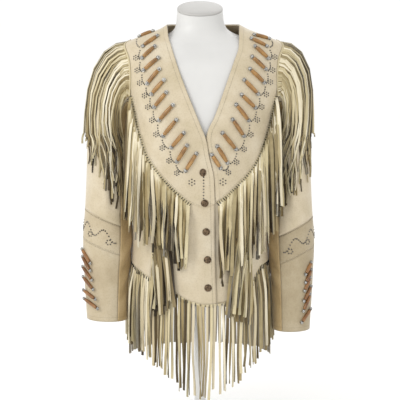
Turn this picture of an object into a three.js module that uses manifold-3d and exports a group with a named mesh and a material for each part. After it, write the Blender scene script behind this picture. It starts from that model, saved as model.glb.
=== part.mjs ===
// Fringed leather jacket on a smooth dress form without limbs, on a pole and a round base.
// Millimetres, +Z up, the front faces -Y and the wearer's right side is at -X.
import * as THREE from "three";
import Module from "manifold-3d";

const wasm = await Module();
wasm.setup();

// driving sizes
const wall = 1.5;
const seamGap = 0.3;
const layerGap = 0.35;
const yokeWall = 1.4;
const sectionPower = 2.3;
const bodyColumns = 30;
const underlap = 1.9;
const underlapEdge = 56;
const underlapTop = 720;
const formBottom = 330;
const poleRadius = 12.5;
const baseRadius = 140;
const baseHeight = 12;
const strandThick = 1.6;

// the worn body of the jacket: height, centre, half width, depth in front and behind
const bodyRows = [
  { z: 60, mid: 0, half: 157, front: 128, back: 116 },
  { z: 200, mid: 0, half: 157, front: 128, back: 115 },
  { z: 280, mid: 0, half: 156, front: 127, back: 113 },
  { z: 330, mid: 0, half: 154, front: 124, back: 110 },
  { z: 380, mid: 0, half: 150, front: 120, back: 103 },
  { z: 430, mid: 0, half: 147, front: 117, back: 96 },
  { z: 480, mid: 0, half: 147, front: 117, back: 94 },
  { z: 540, mid: 0, half: 148, front: 120, back: 93 },
  { z: 600, mid: 1, half: 150, front: 126, back: 97 },
  { z: 660, mid: 4, half: 153, front: 130, back: 103 },
  { z: 690, mid: 6, half: 156, front: 128, back: 105 },
  { z: 720, mid: 8, half: 164, front: 122, back: 107 },
  { z: 760, mid: 8, half: 173, front: 112, back: 106 },
  { z: 800, mid: 8, half: 177, front: 98, back: 101 },
  { z: 830, mid: 8, half: 178, front: 80, back: 92 },
  { z: 843, mid: 8, half: 174, front: 70, back: 85 },
  { z: 849, mid: 8, half: 165, front: 64, back: 80 },
  { z: 853, mid: 8, half: 154, front: 61, back: 77 },
  { z: 861, mid: 8, half: 134, front: 56, back: 73 },
  { z: 869, mid: 8, half: 112, front: 53, back: 69 },
  { z: 877, mid: 8, half: 92, front: 50, back: 65 },
  { z: 886, mid: 7, half: 76, front: 47, back: 60 },
];
const shellHeights = [
  292, 345, 400, 455, 515, 580, 640, 678, 706, 734, 768, 802, 828, 845, 858, 872, 886,
];

// the form's neck above the last row that it shares with the jacket
const neckRows = [
  { z: 851, mid: 8, half: 152, front: 58, back: 75 },
  { z: 856, mid: 8, half: 128, front: 55, back: 71 },
  { z: 861, mid: 7, half: 100, front: 52, back: 67 },
  { z: 867, mid: 4, half: 77, front: 50, back: 62 },
  { z: 875, mid: 2, half: 62, front: 48, back: 57 },
  { z: 885, mid: 1, half: 54, front: 47, back: 54 },
  { z: 900, mid: 0, half: 50.5, front: 47, back: 52 },
  { z: 920, mid: 0, half: 49, front: 47, back: 51 },
];
const neckTiltFrom = 885;
const neckTop = 920;
const capTilt = 0.296;
const capHeight = 3;
const capLift = 9;

// outlines seen from the front, as pairs of x and z
const rightFreeEdge = [
  [-74, 900], [-71, 886], [-68, 877], [-67, 863], [-61, 844], [-45, 797], [-23, 740], [3, 677], [13, 651], [19, 617],
  [29, 568], [31.5, 500], [33, 404],
];
const leftNeckEdge = [
  [92, 900], [88, 884], [85, 871], [82, 844], [70, 808], [51, 755], [30, 698], [15, 666], [11.5, 651],
];
const leftHiddenEdge = [[2, 630], [-7, 600], [-10, 560]];
const rightHem = [[36, 300], [11, 298], [-21, 306], [-53, 323], [-78, 337], [-104, 350]];
const leftHem = [[-10, 302], [11, 298], [36, 300], [47, 301], [75, 311], [96, 322], [110, 336]];
const rightSeam = [
  [-104, 350], [-101, 400], [-99, 460], [-99, 520], [-104, 590], [-117, 645], [-136, 685], [-148, 705], [-150, 716],
];
const leftSeam = [
  [110, 336], [109, 400], [107, 460], [107, 520], [112, 590], [126, 645], [148, 685], [163, 705], [166, 716],
];
const rightSideHem = [[-104, 350], [-112, 353], [-130, 363], [-159, 381]];
const leftSideHem = [[110, 336], [118, 356], [130, 374], [159, 381]];
const backSeams = {
  right: [[-124, 345], [-124, 640], [-132, 690], [-144, 716]],
  left: [[124, 345], [124, 640], [140, 690], [156, 716]],
};
const rightYokeEdge = [
  [-141.5, 738], [-139, 724], [-134, 704], [-129, 678], [-121, 651], [-105, 609], [-78, 572], [-45, 538],
  [-18, 516], [8, 507], [27, 513],
];
const rightFringeEdge = rightYokeEdge.slice(0, -2);
const leftYokeEdge = [
  [156, 738], [153, 722], [149, 702], [143, 678], [131, 639], [109, 592], [73, 551], [41, 522], [35, 518],
];
const backYokeEdge = [
  [-131, 738], [-127, 715], [-118, 690], [-105, 665], [-76, 634], [-36, 608], [8, 597], [52, 608], [90, 634],
  [118, 665], [132, 690], [143, 715], [147, 738],
];

// hairpipe beads on the yokes and the lower sleeves, from the upper end to the lower end
const rightYokeBeads = [
  [[-97, 871], [-131, 858]], [[-88, 863], [-122, 839]], [[-92, 842], [-122, 815]], [[-84, 819], [-118, 790]],
  [[-82, 797], [-110, 763]], [[-72, 775], [-101, 742]], [[-67, 750], [-95, 715]], [[-53, 724], [-85, 688]],
  [[-46, 694], [-77, 656]], [[-31, 668], [-60, 633]], [[-25, 642], [-49, 603]], [[-6, 625], [-31, 584]],
];
const leftYokeBeads = [
  [[112, 864], [149, 854]], [[106, 857], [143, 839]], [[113, 842], [144, 814]], [[106, 821], [138, 792]],
  [[101, 797], [134, 765]], [[89, 775], [121, 742]], [[83, 745], [115, 714]], [[72, 725], [101, 688]],
  [[65, 695], [91, 656]], [[44, 668], [75, 629]], [[34, 640], [58, 600]], [[23, 622], [44, 589]],
];
const rightSleeveBeads = [
  [[-258, 403], [-233, 374]], [[-256, 387], [-233, 358]], [[-255, 365], [-229, 338]], [[-253, 343], [-226, 318]],
  [[-252, 314], [-220, 298]], [[-250, 296], [-215, 278]],
];
const leftSleeveBeads = [
  [[242, 377], [226, 350]], [[242, 361], [226, 332]], [[239, 345], [224, 314]], [[241, 325], [222, 292]],
  [[239, 308], [222, 270]], [[240, 275], [217, 246]],
];
const yokeBead = { half: 3.3, high: 5.2, sunk: 1.0 };
const sleeveBead = { half: 3.0, high: 4.6, sunk: 1.0 };
const snapSpots = [[6, 582, 0.2], [10, 516, 0.3], [13, 454, 0.2], [16, 394, 0.1], [17, 334, 0.05]];
const snapRadius = 8.5;

// armholes, seen from the side, and the sleeves
const armhole = { y: 4, z: 768, deep: 58, high: 77 };
const yokeMargin = 3;
const sleeveRows = [
  { z: 655, gap: 6, outer: 246, deep: 60, y: 4 },
  { z: 584, gap: 5, outer: 248, deep: 57, y: 1 },
  { z: 496, gap: 5.5, outer: 252, deep: 53, y: -5 },
  { z: 418, gap: 9, outer: 257, deep: 50, y: -14 },
  { z: 328, gap: 11, outer: 254, deep: 45, y: -26 },
  { z: 243, gap: 13, outer: 248, deep: 39, y: -38 },
  { z: 200, gap: 13, outer: 246, deep: 38, y: -42 },
];
const sleeves = {
  right: { side: -1, upperSeam: 468, lowerSeam: 404, slope: 0.42, cuff: 249, cuffSlope: 0.03, outerShift: 0 },
  left: { side: 1, upperSeam: 448, lowerSeam: 386, slope: 0.5, cuff: 227, cuffSlope: 0.02, outerShift: -6 },
};
const frontSeamTurn = 124;
const backSeamTurn = 236;

function slopes(xs, ys) {
  const steps = xs.slice(1).map((x, i) => x - xs[i]);
  const rates = steps.map((h, i) => (ys[i + 1] - ys[i]) / h);
  const found = [rates[0]];
  for (let i = 1; i < rates.length; i += 1) {
    const a = 2 * steps[i] + steps[i - 1];
    const b = steps[i] + 2 * steps[i - 1];
    found.push(rates[i - 1] * rates[i] > 0 ? (a + b) / (a / rates[i - 1] + b / rates[i]) : 0);
  }
  found.push(rates[rates.length - 1]);
  return found;
}

// a smooth curve through table values that does not overshoot them
function curve(xs, ys) {
  const grades = slopes(xs, ys);
  return (x) => {
    const q = Math.min(Math.max(x, xs[0]), xs[xs.length - 1]);
    let i = 0;
    while (i < xs.length - 2 && q > xs[i + 1]) i += 1;
    const h = xs[i + 1] - xs[i];
    const t = (q - xs[i]) / h;
    const s = 1 - t;
    return (1 + 2 * t) * s * s * ys[i] + t * s * s * h * grades[i] + t * t * (3 - 2 * t) * ys[i + 1]
      - t * t * s * h * grades[i + 1];
  };
}

function column(rows, key) {
  return rows.map((row) => row[key]);
}

// distance along the profile is the level, so that the flat shoulders are followed evenly
const bodyLevels = bodyRows.reduce((list, row, i) => {
  if (i === 0) return [0];
  const last = bodyRows[i - 1];
  return [...list, list[i - 1] + Math.hypot(row.z - last.z, row.half - last.half)];
}, []);
const bodyAt = {};
for (const key of ["z", "mid", "half", "front", "back"]) bodyAt[key] = curve(bodyLevels, column(bodyRows, key));

function levelOf(z) {
  let low = 0;
  let high = bodyLevels[bodyLevels.length - 1];
  for (let i = 0; i < 40; i += 1) {
    const middle = (low + high) / 2;
    if (bodyAt.z(middle) < z) low = middle;
    else high = middle;
  }
  return (low + high) / 2;
}

function rounded(value, power) {
  return Math.sign(value) * Math.abs(value) ** (2 / power);
}

function bodySurface(turn, level) {
  const sine = rounded(Math.sin(turn), sectionPower);
  const depth = sine < 0 ? bodyAt.front(level) : bodyAt.back(level);
  const x = bodyAt.mid(level) + bodyAt.half(level) * rounded(Math.cos(turn), sectionPower);
  return new THREE.Vector3(x, depth * sine, bodyAt.z(level));
}

// the outward direction of a surface from two small steps along it
function facing(surface, u, v, stepU, stepV) {
  const along = surface(u + stepU, v).sub(surface(u - stepU, v));
  const up = surface(u, v + stepV).sub(surface(u, v - stepV));
  return along.cross(up).normalize();
}

function bodyPoint(turn, level, out) {
  const normal = facing(bodySurface, turn, Math.min(level, bodyLevels[bodyLevels.length - 1] - 1), 0.02, 0.9);
  return bodySurface(turn, level).addScaledVector(normal, out);
}

// the place on the body below a point of the front or back view
function placeOnBody(x, z, behind) {
  const level = levelOf(z);
  const share = Math.min(Math.max((x - bodyAt.mid(level)) / bodyAt.half(level), -0.9995), 0.9995);
  const cosine = Math.sign(share) * Math.abs(share) ** (sectionPower / 2);
  const turn = Math.acos(cosine);
  return { turn: behind ? turn : -turn, level };
}

function onBody(x, z, out, behind = false) {
  const place = placeOnBody(x, z, behind);
  return bodyPoint(place.turn, place.level, out);
}

// the same from the side view
function besideBody(y, z, side) {
  const level = levelOf(z);
  const depth = y < 0 ? bodyAt.front(level) : bodyAt.back(level);
  const turn = Math.asin(Math.sign(y) * Math.min(Math.abs(y) / depth, 1) ** (sectionPower / 2));
  return { turn: side > 0 ? turn : Math.PI - turn, level };
}

function leftDrop(point) {
  return point.x < underlapEdge && point.y < 0 && point.z < underlapTop ? -underlap : 0;
}

// a wall between two point grids that share their triangles; wrap closes it round
function slab(outer, inner, wrap) {
  const rows = outer.length;
  const count = outer[0].length;
  const points = [...outer.flat(), ...inner.flat()];
  const faces = [];
  const shift = rows * count;
  const quad = (a, b, c, d) => faces.push([a, b, c], [a, c, d]);
  const columns = wrap ? count : count - 1;
  for (let i = 0; i < rows - 1; i += 1) {
    for (let j = 0; j < columns; j += 1) {
      const k = (j + 1) % count;
      const [a, b, c, d] = [i * count + j, i * count + k, (i + 1) * count + k, (i + 1) * count + j];
      quad(a, b, c, d);
      faces.push([shift + a, shift + c, shift + b], [shift + a, shift + d, shift + c]);
    }
    if (!wrap) {
      const [a, d] = [i * count, (i + 1) * count];
      const [b, c] = [a + count - 1, d + count - 1];
      quad(a, d, shift + d, shift + a);
      quad(c, b, shift + b, shift + c);
    }
  }
  for (let j = 0; j < columns; j += 1) {
    const k = (j + 1) % count;
    const last = (rows - 1) * count;
    quad(j, shift + j, shift + k, k);
    quad(last + k, shift + last + k, shift + last + j, last + j);
  }
  return { points, faces };
}

// closed rings one above another with flat ends
function stack(rings) {
  const count = rings[0].length;
  const points = rings.flat();
  const faces = [];
  for (let i = 0; i < rings.length - 1; i += 1) {
    for (let j = 0; j < count; j += 1) {
      const k = (j + 1) % count;
      const [a, b, c, d] = [i * count + j, i * count + k, (i + 1) * count + k, (i + 1) * count + j];
      faces.push([a, b, c], [a, c, d]);
    }
  }
  const last = (rings.length - 1) * count;
  for (let j = 1; j < count - 1; j += 1) {
    faces.push([0, j + 1, j], [last, last + j, last + j + 1]);
  }
  return { points, faces };
}

function volumeOf({ points, faces }) {
  let sum = 0;
  for (const [a, b, c] of faces) sum += points[a].dot(points[b].clone().cross(points[c]));
  return sum / 6;
}

function outward(shape) {
  if (volumeOf(shape) > 0) return shape;
  return { points: shape.points, faces: shape.faces.map(([a, b, c]) => [a, c, b]) };
}

function toManifold(shape) {
  const { points, faces } = outward(shape);
  const vertProperties = new Float32Array(points.flatMap((p) => [p.x, p.y, p.z]));
  return new wasm.Manifold(new wasm.Mesh({ numProp: 3, vertProperties, triVerts: new Uint32Array(faces.flat()) }));
}

// a column with the given outline; place turns outline pairs and a depth into points
function prism(outline, from, to, place) {
  const flat = outline.map(([a, b]) => new THREE.Vector2(a, b));
  const loop = THREE.ShapeUtils.isClockWise(flat) ? [...flat].reverse() : flat;
  const count = loop.length;
  const caps = THREE.ShapeUtils.triangulateShape(loop, []);
  const points = [...loop.map((p) => place(p.x, p.y, from)), ...loop.map((p) => place(p.x, p.y, to))];
  const faces = [];
  for (const [a, b, c] of caps) faces.push([a, c, b], [a + count, b + count, c + count]);
  for (let j = 0; j < count; j += 1) {
    const k = (j + 1) % count;
    faces.push([j, k, k + count], [j, k + count, j + count]);
  }
  return toManifold({ points, faces });
}

function frontPrism(outline, from, to) {
  return prism(outline, from, to, (x, z, y) => new THREE.Vector3(x, y, z));
}

function sidePrism(outline, from, to) {
  return prism(outline, from, to, (y, z, x) => new THREE.Vector3(x, y, z));
}

const group = new THREE.Group();

function addMesh(name, geometry, colour) {
  geometry.computeVertexNormals();
  const material = new THREE.MeshStandardMaterial({ color: colour, roughness: 0.8, flatShading: true });
  material.name = `${name}_colour`;
  const mesh = new THREE.Mesh(geometry, material);
  mesh.name = name;
  group.add(mesh);
}

function addShape(name, shape, colour) {
  const { points, faces } = outward(shape);
  const geometry = new THREE.BufferGeometry();
  geometry.setAttribute("position", new THREE.Float32BufferAttribute(points.flatMap((p) => [p.x, p.y, p.z]), 3));
  geometry.setIndex(faces.flat());
  addMesh(name, geometry, colour);
}

function addSolid(name, solid, colour) {
  const { numProp, vertProperties, triVerts } = solid.getMesh();
  const values = [];
  for (let i = 0; i < vertProperties.length; i += numProp) values.push(...vertProperties.slice(i, i + 3));
  const geometry = new THREE.BufferGeometry();
  geometry.setAttribute("position", new THREE.Float32BufferAttribute(values, 3));
  geometry.setIndex(Array.from(triVerts));
  addMesh(name, geometry, colour);
}

const leather = 0xdbd0b4;
const strandColour = 0xcfc3a0;
const formColour = 0xeeece8;

// body panels, cut from one shell
const turns = Array.from({ length: bodyColumns }, (_, j) => (2 * Math.PI * (j + 0.5)) / bodyColumns);
const shellLevels = shellHeights.map(levelOf);

function bodyShell(low, high, drop, levels) {
  const grid = (out) => levels.map((level) => turns.map((turn) => {
    const flat = bodySurface(turn, level);
    return bodyPoint(turn, level, out + drop(flat));
  }));
  return toManifold(slab(grid(high), grid(low), true));
}

const noDrop = () => 0;
const shell = bodyShell(0, wall, noDrop, shellLevels);
const lowShell = bodyShell(0, wall, leftDrop, shellLevels);

function ellipse(margin) {
  return Array.from({ length: 44 }, (_, i) => {
    const turn = (2 * Math.PI * (i + 0.5)) / 44;
    const y = armhole.y + (armhole.deep + margin) * Math.cos(turn);
    return [y, armhole.z + (armhole.high + margin) * Math.sin(turn)];
  });
}

function armholeCut(margin) {
  return sidePrism(ellipse(margin), -260, -100).add(sidePrism(ellipse(margin), 100, 260));
}

const far = 300;
const rightFrontOutline = [
  ...rightFreeEdge, ...rightHem.slice(0, -1), ...rightSeam, [-far, 716], [-far, 900],
];
const leftFrontOutline = [
  ...leftNeckEdge, ...leftHiddenEdge, ...leftHem.slice(0, -1), ...leftSeam, [far, 716], [far, 900],
];
const backOutline = [
  ...backSeams.left, [far, 716], [far, 900], [-far, 900], [-far, 716], ...[...backSeams.right].reverse(),
];
const holes = armholeCut(0);

function sidePanel(side, seam, sideHem, backSeam) {
  const frontEdge = seam.map(([x, z]) => [x + side * seamGap, z]);
  const hem = sideHem.slice(1);
  const frontPart = frontPrism([
    ...frontEdge, [side * far, 716 - seamGap], [side * far, sideHem[sideHem.length - 1][1]], ...hem.reverse(),
  ], -far, 0);
  const top = 716 - seamGap;
  const back = [
    ...backSeam.map(([x, z]) => [x + side * seamGap, Math.min(z, top)]), [side * far, top],
    [side * far, sideHem[sideHem.length - 1][1]], sideHem[sideHem.length - 1],
  ];
  return shell.intersect(frontPart.add(frontPrism(back, 0, far))).subtract(holes);
}

addSolid("front_right", shell.intersect(frontPrism(rightFrontOutline, -far, -seamGap / 2)).subtract(holes), leather);
addSolid("front_left", lowShell.intersect(frontPrism(leftFrontOutline, -far, -seamGap / 2)).subtract(holes), leather);
addSolid("side_right", sidePanel(-1, rightSeam, rightSideHem, backSeams.right), leather);
addSolid("side_left", sidePanel(1, leftSeam, leftSideHem, backSeams.left), leather);
addSolid("back", shell.intersect(frontPrism(backOutline, seamGap / 2, far)).subtract(holes), leather);

// raised beads, half round and partly sunk into the wall below them
function bead(from, to, outwardWay, size) {
  const along = to.clone().sub(from);
  const length = along.length();
  along.normalize();
  const up = outwardWay.clone().addScaledVector(along, -outwardWay.dot(along)).normalize();
  const across = up.clone().cross(along);
  const section = [[-1, 0], [1, 0], [0.6, 1], [-0.6, 1]];
  const ring = (at) => section.map(([a, h]) => from.clone().addScaledVector(along, at)
    .addScaledVector(across, a * size.half).addScaledVector(up, h * (size.high + size.sunk) - size.sunk));
  return toManifold(stack([ring(0), ring(length)]));
}

function yokeBeadSolid([start, end], out, drop) {
  const middle = onBody((start[0] + end[0]) / 2, (start[1] + end[1]) / 2, out + drop);
  const a = onBody(start[0], start[1], out + drop);
  const b = onBody(end[0], end[1], out + drop);
  const sink = middle.clone().sub(a.clone().add(b).multiplyScalar(0.5));
  const place = placeOnBody((start[0] + end[0]) / 2, (start[1] + end[1]) / 2, false);
  const normal = facing(bodySurface, place.turn, place.level, 0.02, 0.9);
  const rise = Math.max(sink.dot(normal), 0);
  return bead(a.addScaledVector(normal, rise), b.addScaledVector(normal, rise), normal, yokeBead);
}

// a point on the body beside the armhole, margin millimetres away from its rim
function aroundArmhole(sleeve, turn, margin, out) {
  const y = armhole.y - (armhole.deep + margin) * Math.sin(turn);
  const place = besideBody(y, armhole.z + (armhole.high + margin) * Math.cos(turn), sleeve.side);
  return bodyPoint(place.turn, place.level, out);
}

// a point on the body beside an edge, away millimetres outside it, for the edge's station i
function besideEdge(line, i, away, out, behind) {
  const [x, z] = line[i];
  const before = line[Math.max(i - 1, 0)];
  const after = line[Math.min(i + 1, line.length - 1)];
  const length = Math.hypot(after[0] - before[0], after[1] - before[1]);
  const nx = (after[1] - before[1]) / length;
  const nz = -(after[0] - before[0]) / length;
  const flip = nz > 0 ? -1 : 1;
  return onBody(x + flip * nx * away, z + flip * nz * away, out, behind);
}

// the room that a fringe backing takes up, cut out of the yoke above it
function backingRoom(edge, behind, low, high) {
  const row = (away, out) => edge.map((_, i) => besideEdge(edge, i, away, out, behind));
  return toManifold(slab([row(-1.3, high), row(11, high)], [row(-1.3, low), row(11, low)], false));
}

function armholeRoom(sleeve, fromTurn, toTurn, low, high) {
  const turnList = spread(degrees(fromTurn), degrees(toTurn), 11);
  const row = (margin, out) => turnList.map((turn) => aroundArmhole(sleeve, turn, margin, out));
  return toManifold(slab([row(7.6, high), row(0.2, high)], [row(7.6, low), row(0.2, low)], false));
}

// beads beside the overlap follow the lowered left front
function beadDrop([[x, z], [endX]]) {
  const middle = (x + endX) / 2;
  if (z > underlapTop || middle > underlapEdge + 5) return 0;
  return middle < underlapEdge - 16 ? -underlap : -underlap * 0.6;
}

// yokes, laid over the panels
const yokeLow = wall + layerGap;
const yokeHigh = yokeLow + yokeWall;
const yokeLevels = shellLevels.slice(3);
const yokeShell = bodyShell(yokeLow, yokeHigh, noDrop, yokeLevels);
const lowYokeShell = bodyShell(yokeLow, yokeHigh, leftDrop, yokeLevels);
const yokeHoles = armholeCut(yokeMargin);
const overlapBeside = rightFreeEdge.filter(([, z]) => z < 650 && z > 514).map(([x, z]) => [x + 0.5, z]);

function beyond(line, right, down) {
  return line.map(([x, z]) => [x + right, z + down]);
}

// everything inside the yokes, taken off the beads so that none comes through
function yokeCore(drop) {
  return toManifold(stack(yokeLevels.map((level) => turns.map((turn) => {
    const flat = bodySurface(turn, level);
    return bodyPoint(turn, level, yokeLow + 0.25 + drop(flat));
  }))));
}

function yokePiece(source, outline, from, to, rooms, beads, core) {
  let solid = source.intersect(frontPrism(outline, from, to)).subtract(yokeHoles);
  for (const room of rooms) solid = solid.subtract(room);
  for (const one of beads) solid = solid.add(one.subtract(core));
  return solid.decompose().sort((a, b) => b.volume() - a.volume())[0];
}

const rightYokeOutline = [
  ...rightFreeEdge.filter(([, z]) => z > 540), [30.8, 514], [27, 513], [8, 507],
  ...beyond([...rightFringeEdge].reverse(), 0, -5), [-far, 738], [-far, 900],
];
const leftYokeOutline = [
  ...leftNeckEdge.slice(0, -1), [13.8, 650], ...overlapBeside, [33.4, 513],
  ...beyond([...leftYokeEdge].reverse(), 0, -5), [far, 738], [far, 900],
];
const backYokeOutline = [
  [-far, 738], ...beyond(backYokeEdge, 0, -5), [far, 738], [far, 900], [-far, 900],
];
addSolid("yoke_right", yokePiece(yokeShell, rightYokeOutline, -far, -seamGap / 2,
  [
    backingRoom([[-142, 756], ...rightFringeEdge, [-16.5, 515.3]], false, 0.6, 6),
    armholeRoom(sleeves.right, -20, 112, 0.6, 6),
  ],
  rightYokeBeads.map((ends) => yokeBeadSolid(ends, yokeHigh, 0)), yokeCore(noDrop)), leather);
addSolid("yoke_left", yokePiece(lowYokeShell, leftYokeOutline, -far, -seamGap / 2,
  [backingRoom([[157, 756], ...leftYokeEdge], false, -2, 6), armholeRoom(sleeves.left, -20, 112, 0.6, 6)],
  leftYokeBeads.map((ends) => yokeBeadSolid(ends, yokeHigh, beadDrop(ends))), yokeCore(leftDrop)), leather);
addSolid("yoke_back", yokePiece(yokeShell, backYokeOutline, seamGap / 2, far,
  [
    backingRoom([[-131.5, 756], ...backYokeEdge, [147.5, 756]], true, 0.6, 6),
    armholeRoom(sleeves.right, 20, -112, 0.6, 6), armholeRoom(sleeves.left, 20, -112, 0.6, 6),
  ], [], null), leather);

// sleeves: a cap that runs from the armhole to the upper arm, then a tube that hangs to the cuff
const sleeveZ = column(sleeveRows, "z").reverse();
const sleeveAt = {};
for (const key of ["gap", "outer", "deep", "y"]) sleeveAt[key] = curve(sleeveZ, column(sleeveRows, key).reverse());
const bicep = sleeveRows[0].z;

function tubePoint(sleeve, turn, z) {
  const level = levelOf(z);
  const inner = sleeve.side * bodyAt.mid(level) + bodyAt.half(level) + sleeveAt.gap(z);
  const outer = sleeveAt.outer(z) + sleeve.outerShift;
  const x = (inner + outer) / 2 + ((outer - inner) / 2) * Math.cos(turn);
  return new THREE.Vector3(sleeve.side * x, sleeveAt.y(z) - sleeveAt.deep(z) * Math.sin(turn), z);
}

function armholePoint(sleeve, turn, margin, out) {
  const y = armhole.y - (armhole.deep + margin) * Math.sin(turn);
  const z = armhole.z + (armhole.high + margin) * Math.cos(turn);
  const level = levelOf(z);
  const depth = y < 0 ? bodyAt.front(level) : bodyAt.back(level);
  const share = (1 - Math.min(Math.abs(y / depth), 0.999) ** sectionPower) ** (1 / sectionPower);
  return new THREE.Vector3(bodyAt.mid(level) + sleeve.side * (bodyAt.half(level) * share + out), y, z);
}

function capPoint(sleeve, turn, t) {
  const start = armholePoint(sleeve, turn, -2 * seamGap, 0.9);
  const end = tubePoint(sleeve, turn, bicep);
  const high = 0.5 + 0.5 * Math.cos(turn);
  const leave = new THREE.Vector3(sleeve.side * (34 + 72 * high), 0, 8 - 14 * high);
  const arrive = new THREE.Vector3(0, 0, -(40 + 170 * high));
  const s = 1 - t;
  return start.multiplyScalar((1 + 2 * t) * s * s).addScaledVector(leave, t * s * s)
    .addScaledVector(end, t * t * (3 - 2 * t)).addScaledVector(arrive, -t * t * s);
}

// way is 0 at the armhole, 1 at the upper arm and then counts millimetres down the tube
function sleeveSurface(sleeve, turn, way) {
  if (way <= 1) return capPoint(sleeve, turn, Math.max(way, 0));
  return tubePoint(sleeve, turn, bicep - (way - 1));
}

function sleevePoint(sleeve, turn, way, out) {
  const step = way < 1.02 ? 0.02 : 1;
  const at = Math.max(way, step);
  const shape = (u, v) => sleeveSurface(sleeve, u, v);
  const normal = facing(shape, turn, at, 0.03, step).multiplyScalar(sleeve.side);
  return sleeveSurface(sleeve, turn, way).addScaledVector(normal, out);
}

function wayAt(z) {
  return 1 + bicep - z;
}

// the height of a slanting seam at one turn of the sleeve
function slantWay(sleeve, turn, z, slope) {
  const here = tubePoint(sleeve, turn, z);
  const middle = (tubePoint(sleeve, 0, z).x + tubePoint(sleeve, Math.PI, z).x) / 2;
  return wayAt(z + slope * sleeve.side * (here.x - middle));
}

function degrees(value) {
  return (value * Math.PI) / 180;
}

function sleevePatch(sleeve, fromTurn, toTurn, columns, waysAt) {
  const grid = (out) => {
    const byTurn = Array.from({ length: columns + 1 }, (_, j) => {
      const turn = degrees(fromTurn + ((toTurn - fromTurn) * j) / columns);
      return waysAt(turn).map((way) => sleevePoint(sleeve, turn, way, out));
    });
    return byTurn[0].map((_, i) => byTurn.map((list) => list[i]));
  };
  return slab(grid(0), grid(-wall), false);
}

function spread(from, to, count) {
  return Array.from({ length: count + 1 }, (_, i) => from + ((to - from) * i) / count);
}

const capWays = [0, 0.12, 0.28, 0.46, 0.64, 0.82, 1];
const edgeTurn = 0.3;
for (const [label, sleeve] of Object.entries(sleeves)) {
  const from = backSeamTurn - 360 + edgeTurn;
  const to = frontSeamTurn - edgeTurn;
  const upperAt = (turn) => slantWay(sleeve, turn, sleeve.upperSeam, sleeve.slope);
  const lowerAt = (turn) => slantWay(sleeve, turn, sleeve.lowerSeam, sleeve.slope * 0.9);
  const cuffAt = (turn) => slantWay(sleeve, turn, sleeve.cuff, sleeve.cuffSlope);
  const upper = sleevePatch(sleeve, from, to, 12, (turn) => [
    ...capWays, ...spread(1, upperAt(turn) - seamGap / 2, 3).slice(1),
  ]);
  addShape(`sleeve_${label}_upper`, upper, leather);
  addShape(`sleeve_${label}_band`, sleevePatch(sleeve, from, to, 12, (turn) => spread(
    upperAt(turn) + seamGap / 2, lowerAt(turn) - seamGap / 2, 1)), leather);
  const lower = sleevePatch(sleeve, from, to, 12, (turn) => spread(lowerAt(turn) + seamGap / 2, cuffAt(turn), 3));
  let lowerSolid = toManifold(lower);
  for (const [start, end] of label === "right" ? rightSleeveBeads : leftSleeveBeads) {
    const onSleeve = ([x, z]) => {
      const near = tubePoint(sleeve, 0, z).x;
      const opposite = tubePoint(sleeve, Math.PI, z).x;
      const share = Math.min(Math.max((2 * x - near - opposite) / (near - opposite), -1), 0.97);
      return [Math.acos(share), wayAt(z)];
    };
    const places = [onSleeve(start), onSleeve(end)];
    const [turn, way] = [0, 1].map((k) => (places[0][k] + places[1][k]) / 2);
    const ends = places.map(([u, v]) => sleevePoint(sleeve, u, v, 0));
    const middle = sleevePoint(sleeve, turn, way, 0);
    const normal = sleevePoint(sleeve, turn, way, 1).sub(middle);
    const rise = Math.max(middle.sub(ends[0].clone().add(ends[1]).multiplyScalar(0.5)).dot(normal), 0);
    for (const one of ends) one.addScaledVector(normal, rise);
    lowerSolid = lowerSolid.add(bead(ends[0], ends[1], normal, sleeveBead));
  }
  addSolid(`sleeve_${label}_lower`, lowerSolid, leather);
  addShape(`sleeve_${label}_under`, sleevePatch(sleeve, frontSeamTurn + edgeTurn, backSeamTurn - edgeTurn, 6,
    (turn) => [...capWays, ...spread(1, cuffAt(turn), 6).slice(1)]), leather);
}

// fringe: stations run along the backing; each pair of stations is the root of one strand
function comb(stations, strands) {
  const points = stations.flat();
  const faces = [];
  const quad = (a, b, c, d) => faces.push([a, b, c], [a, c, d]);
  for (let j = 0; j < stations.length - 1; j += 1) {
    const a = 4 * j;
    const b = a + 4;
    quad(a, a + 1, b + 1, b);
    quad(a + 2, a + 3, b + 3, b + 2);
    quad(a + 3, a, b, b + 3);
    if (j % 2 === 1) {
      quad(a + 1, a + 2, b + 2, b + 1);
    } else {
      let loop = [a + 1, a + 2, b + 2, b + 1];
      for (const section of strands[j / 2]) {
        const next = section.map((point) => points.push(point) - 1);
        for (let k = 0; k < 4; k += 1) {
          const m = (k + 1) % 4;
          quad(loop[k], loop[m], next[m], next[k]);
        }
        loop = next;
      }
      quad(loop[0], loop[1], loop[2], loop[3]);
    }
  }
  const last = 4 * (stations.length - 1);
  quad(3, 2, 1, 0);
  quad(last, last + 1, last + 2, last + 3);
  return { points, faces };
}

// one section of a strand, from its middle, its width direction and its outward direction
function section(middle, across, outwardWay, width, thick = strandThick) {
  const w = across.clone().multiplyScalar(width / 2);
  const n = outwardWay.clone().multiplyScalar(thick / 2);
  return [
    middle.clone().sub(w).add(n), middle.clone().sub(w).sub(n), middle.clone().add(w).sub(n),
    middle.clone().add(w).add(n),
  ];
}

// the outermost faces of sleeves, sampled once so that strands can hang clear of them
const cell = 5;
const field = { front: new Map(), back: new Map() };
for (const sleeve of Object.values(sleeves)) {
  for (let i = 0; i < 150; i += 1) {
    const ways = [...spread(0, 1, 40), ...spread(4, 430, 100)];
    for (const way of ways) {
      const p = sleeveSurface(sleeve, (2 * Math.PI * i) / 150, way);
      const key = `${Math.round(p.x / cell)},${Math.round(p.z / cell)}`;
      field.front.set(key, Math.min(field.front.get(key) ?? 0, p.y));
      field.back.set(key, Math.max(field.back.get(key) ?? 0, p.y));
    }
  }
}

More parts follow.
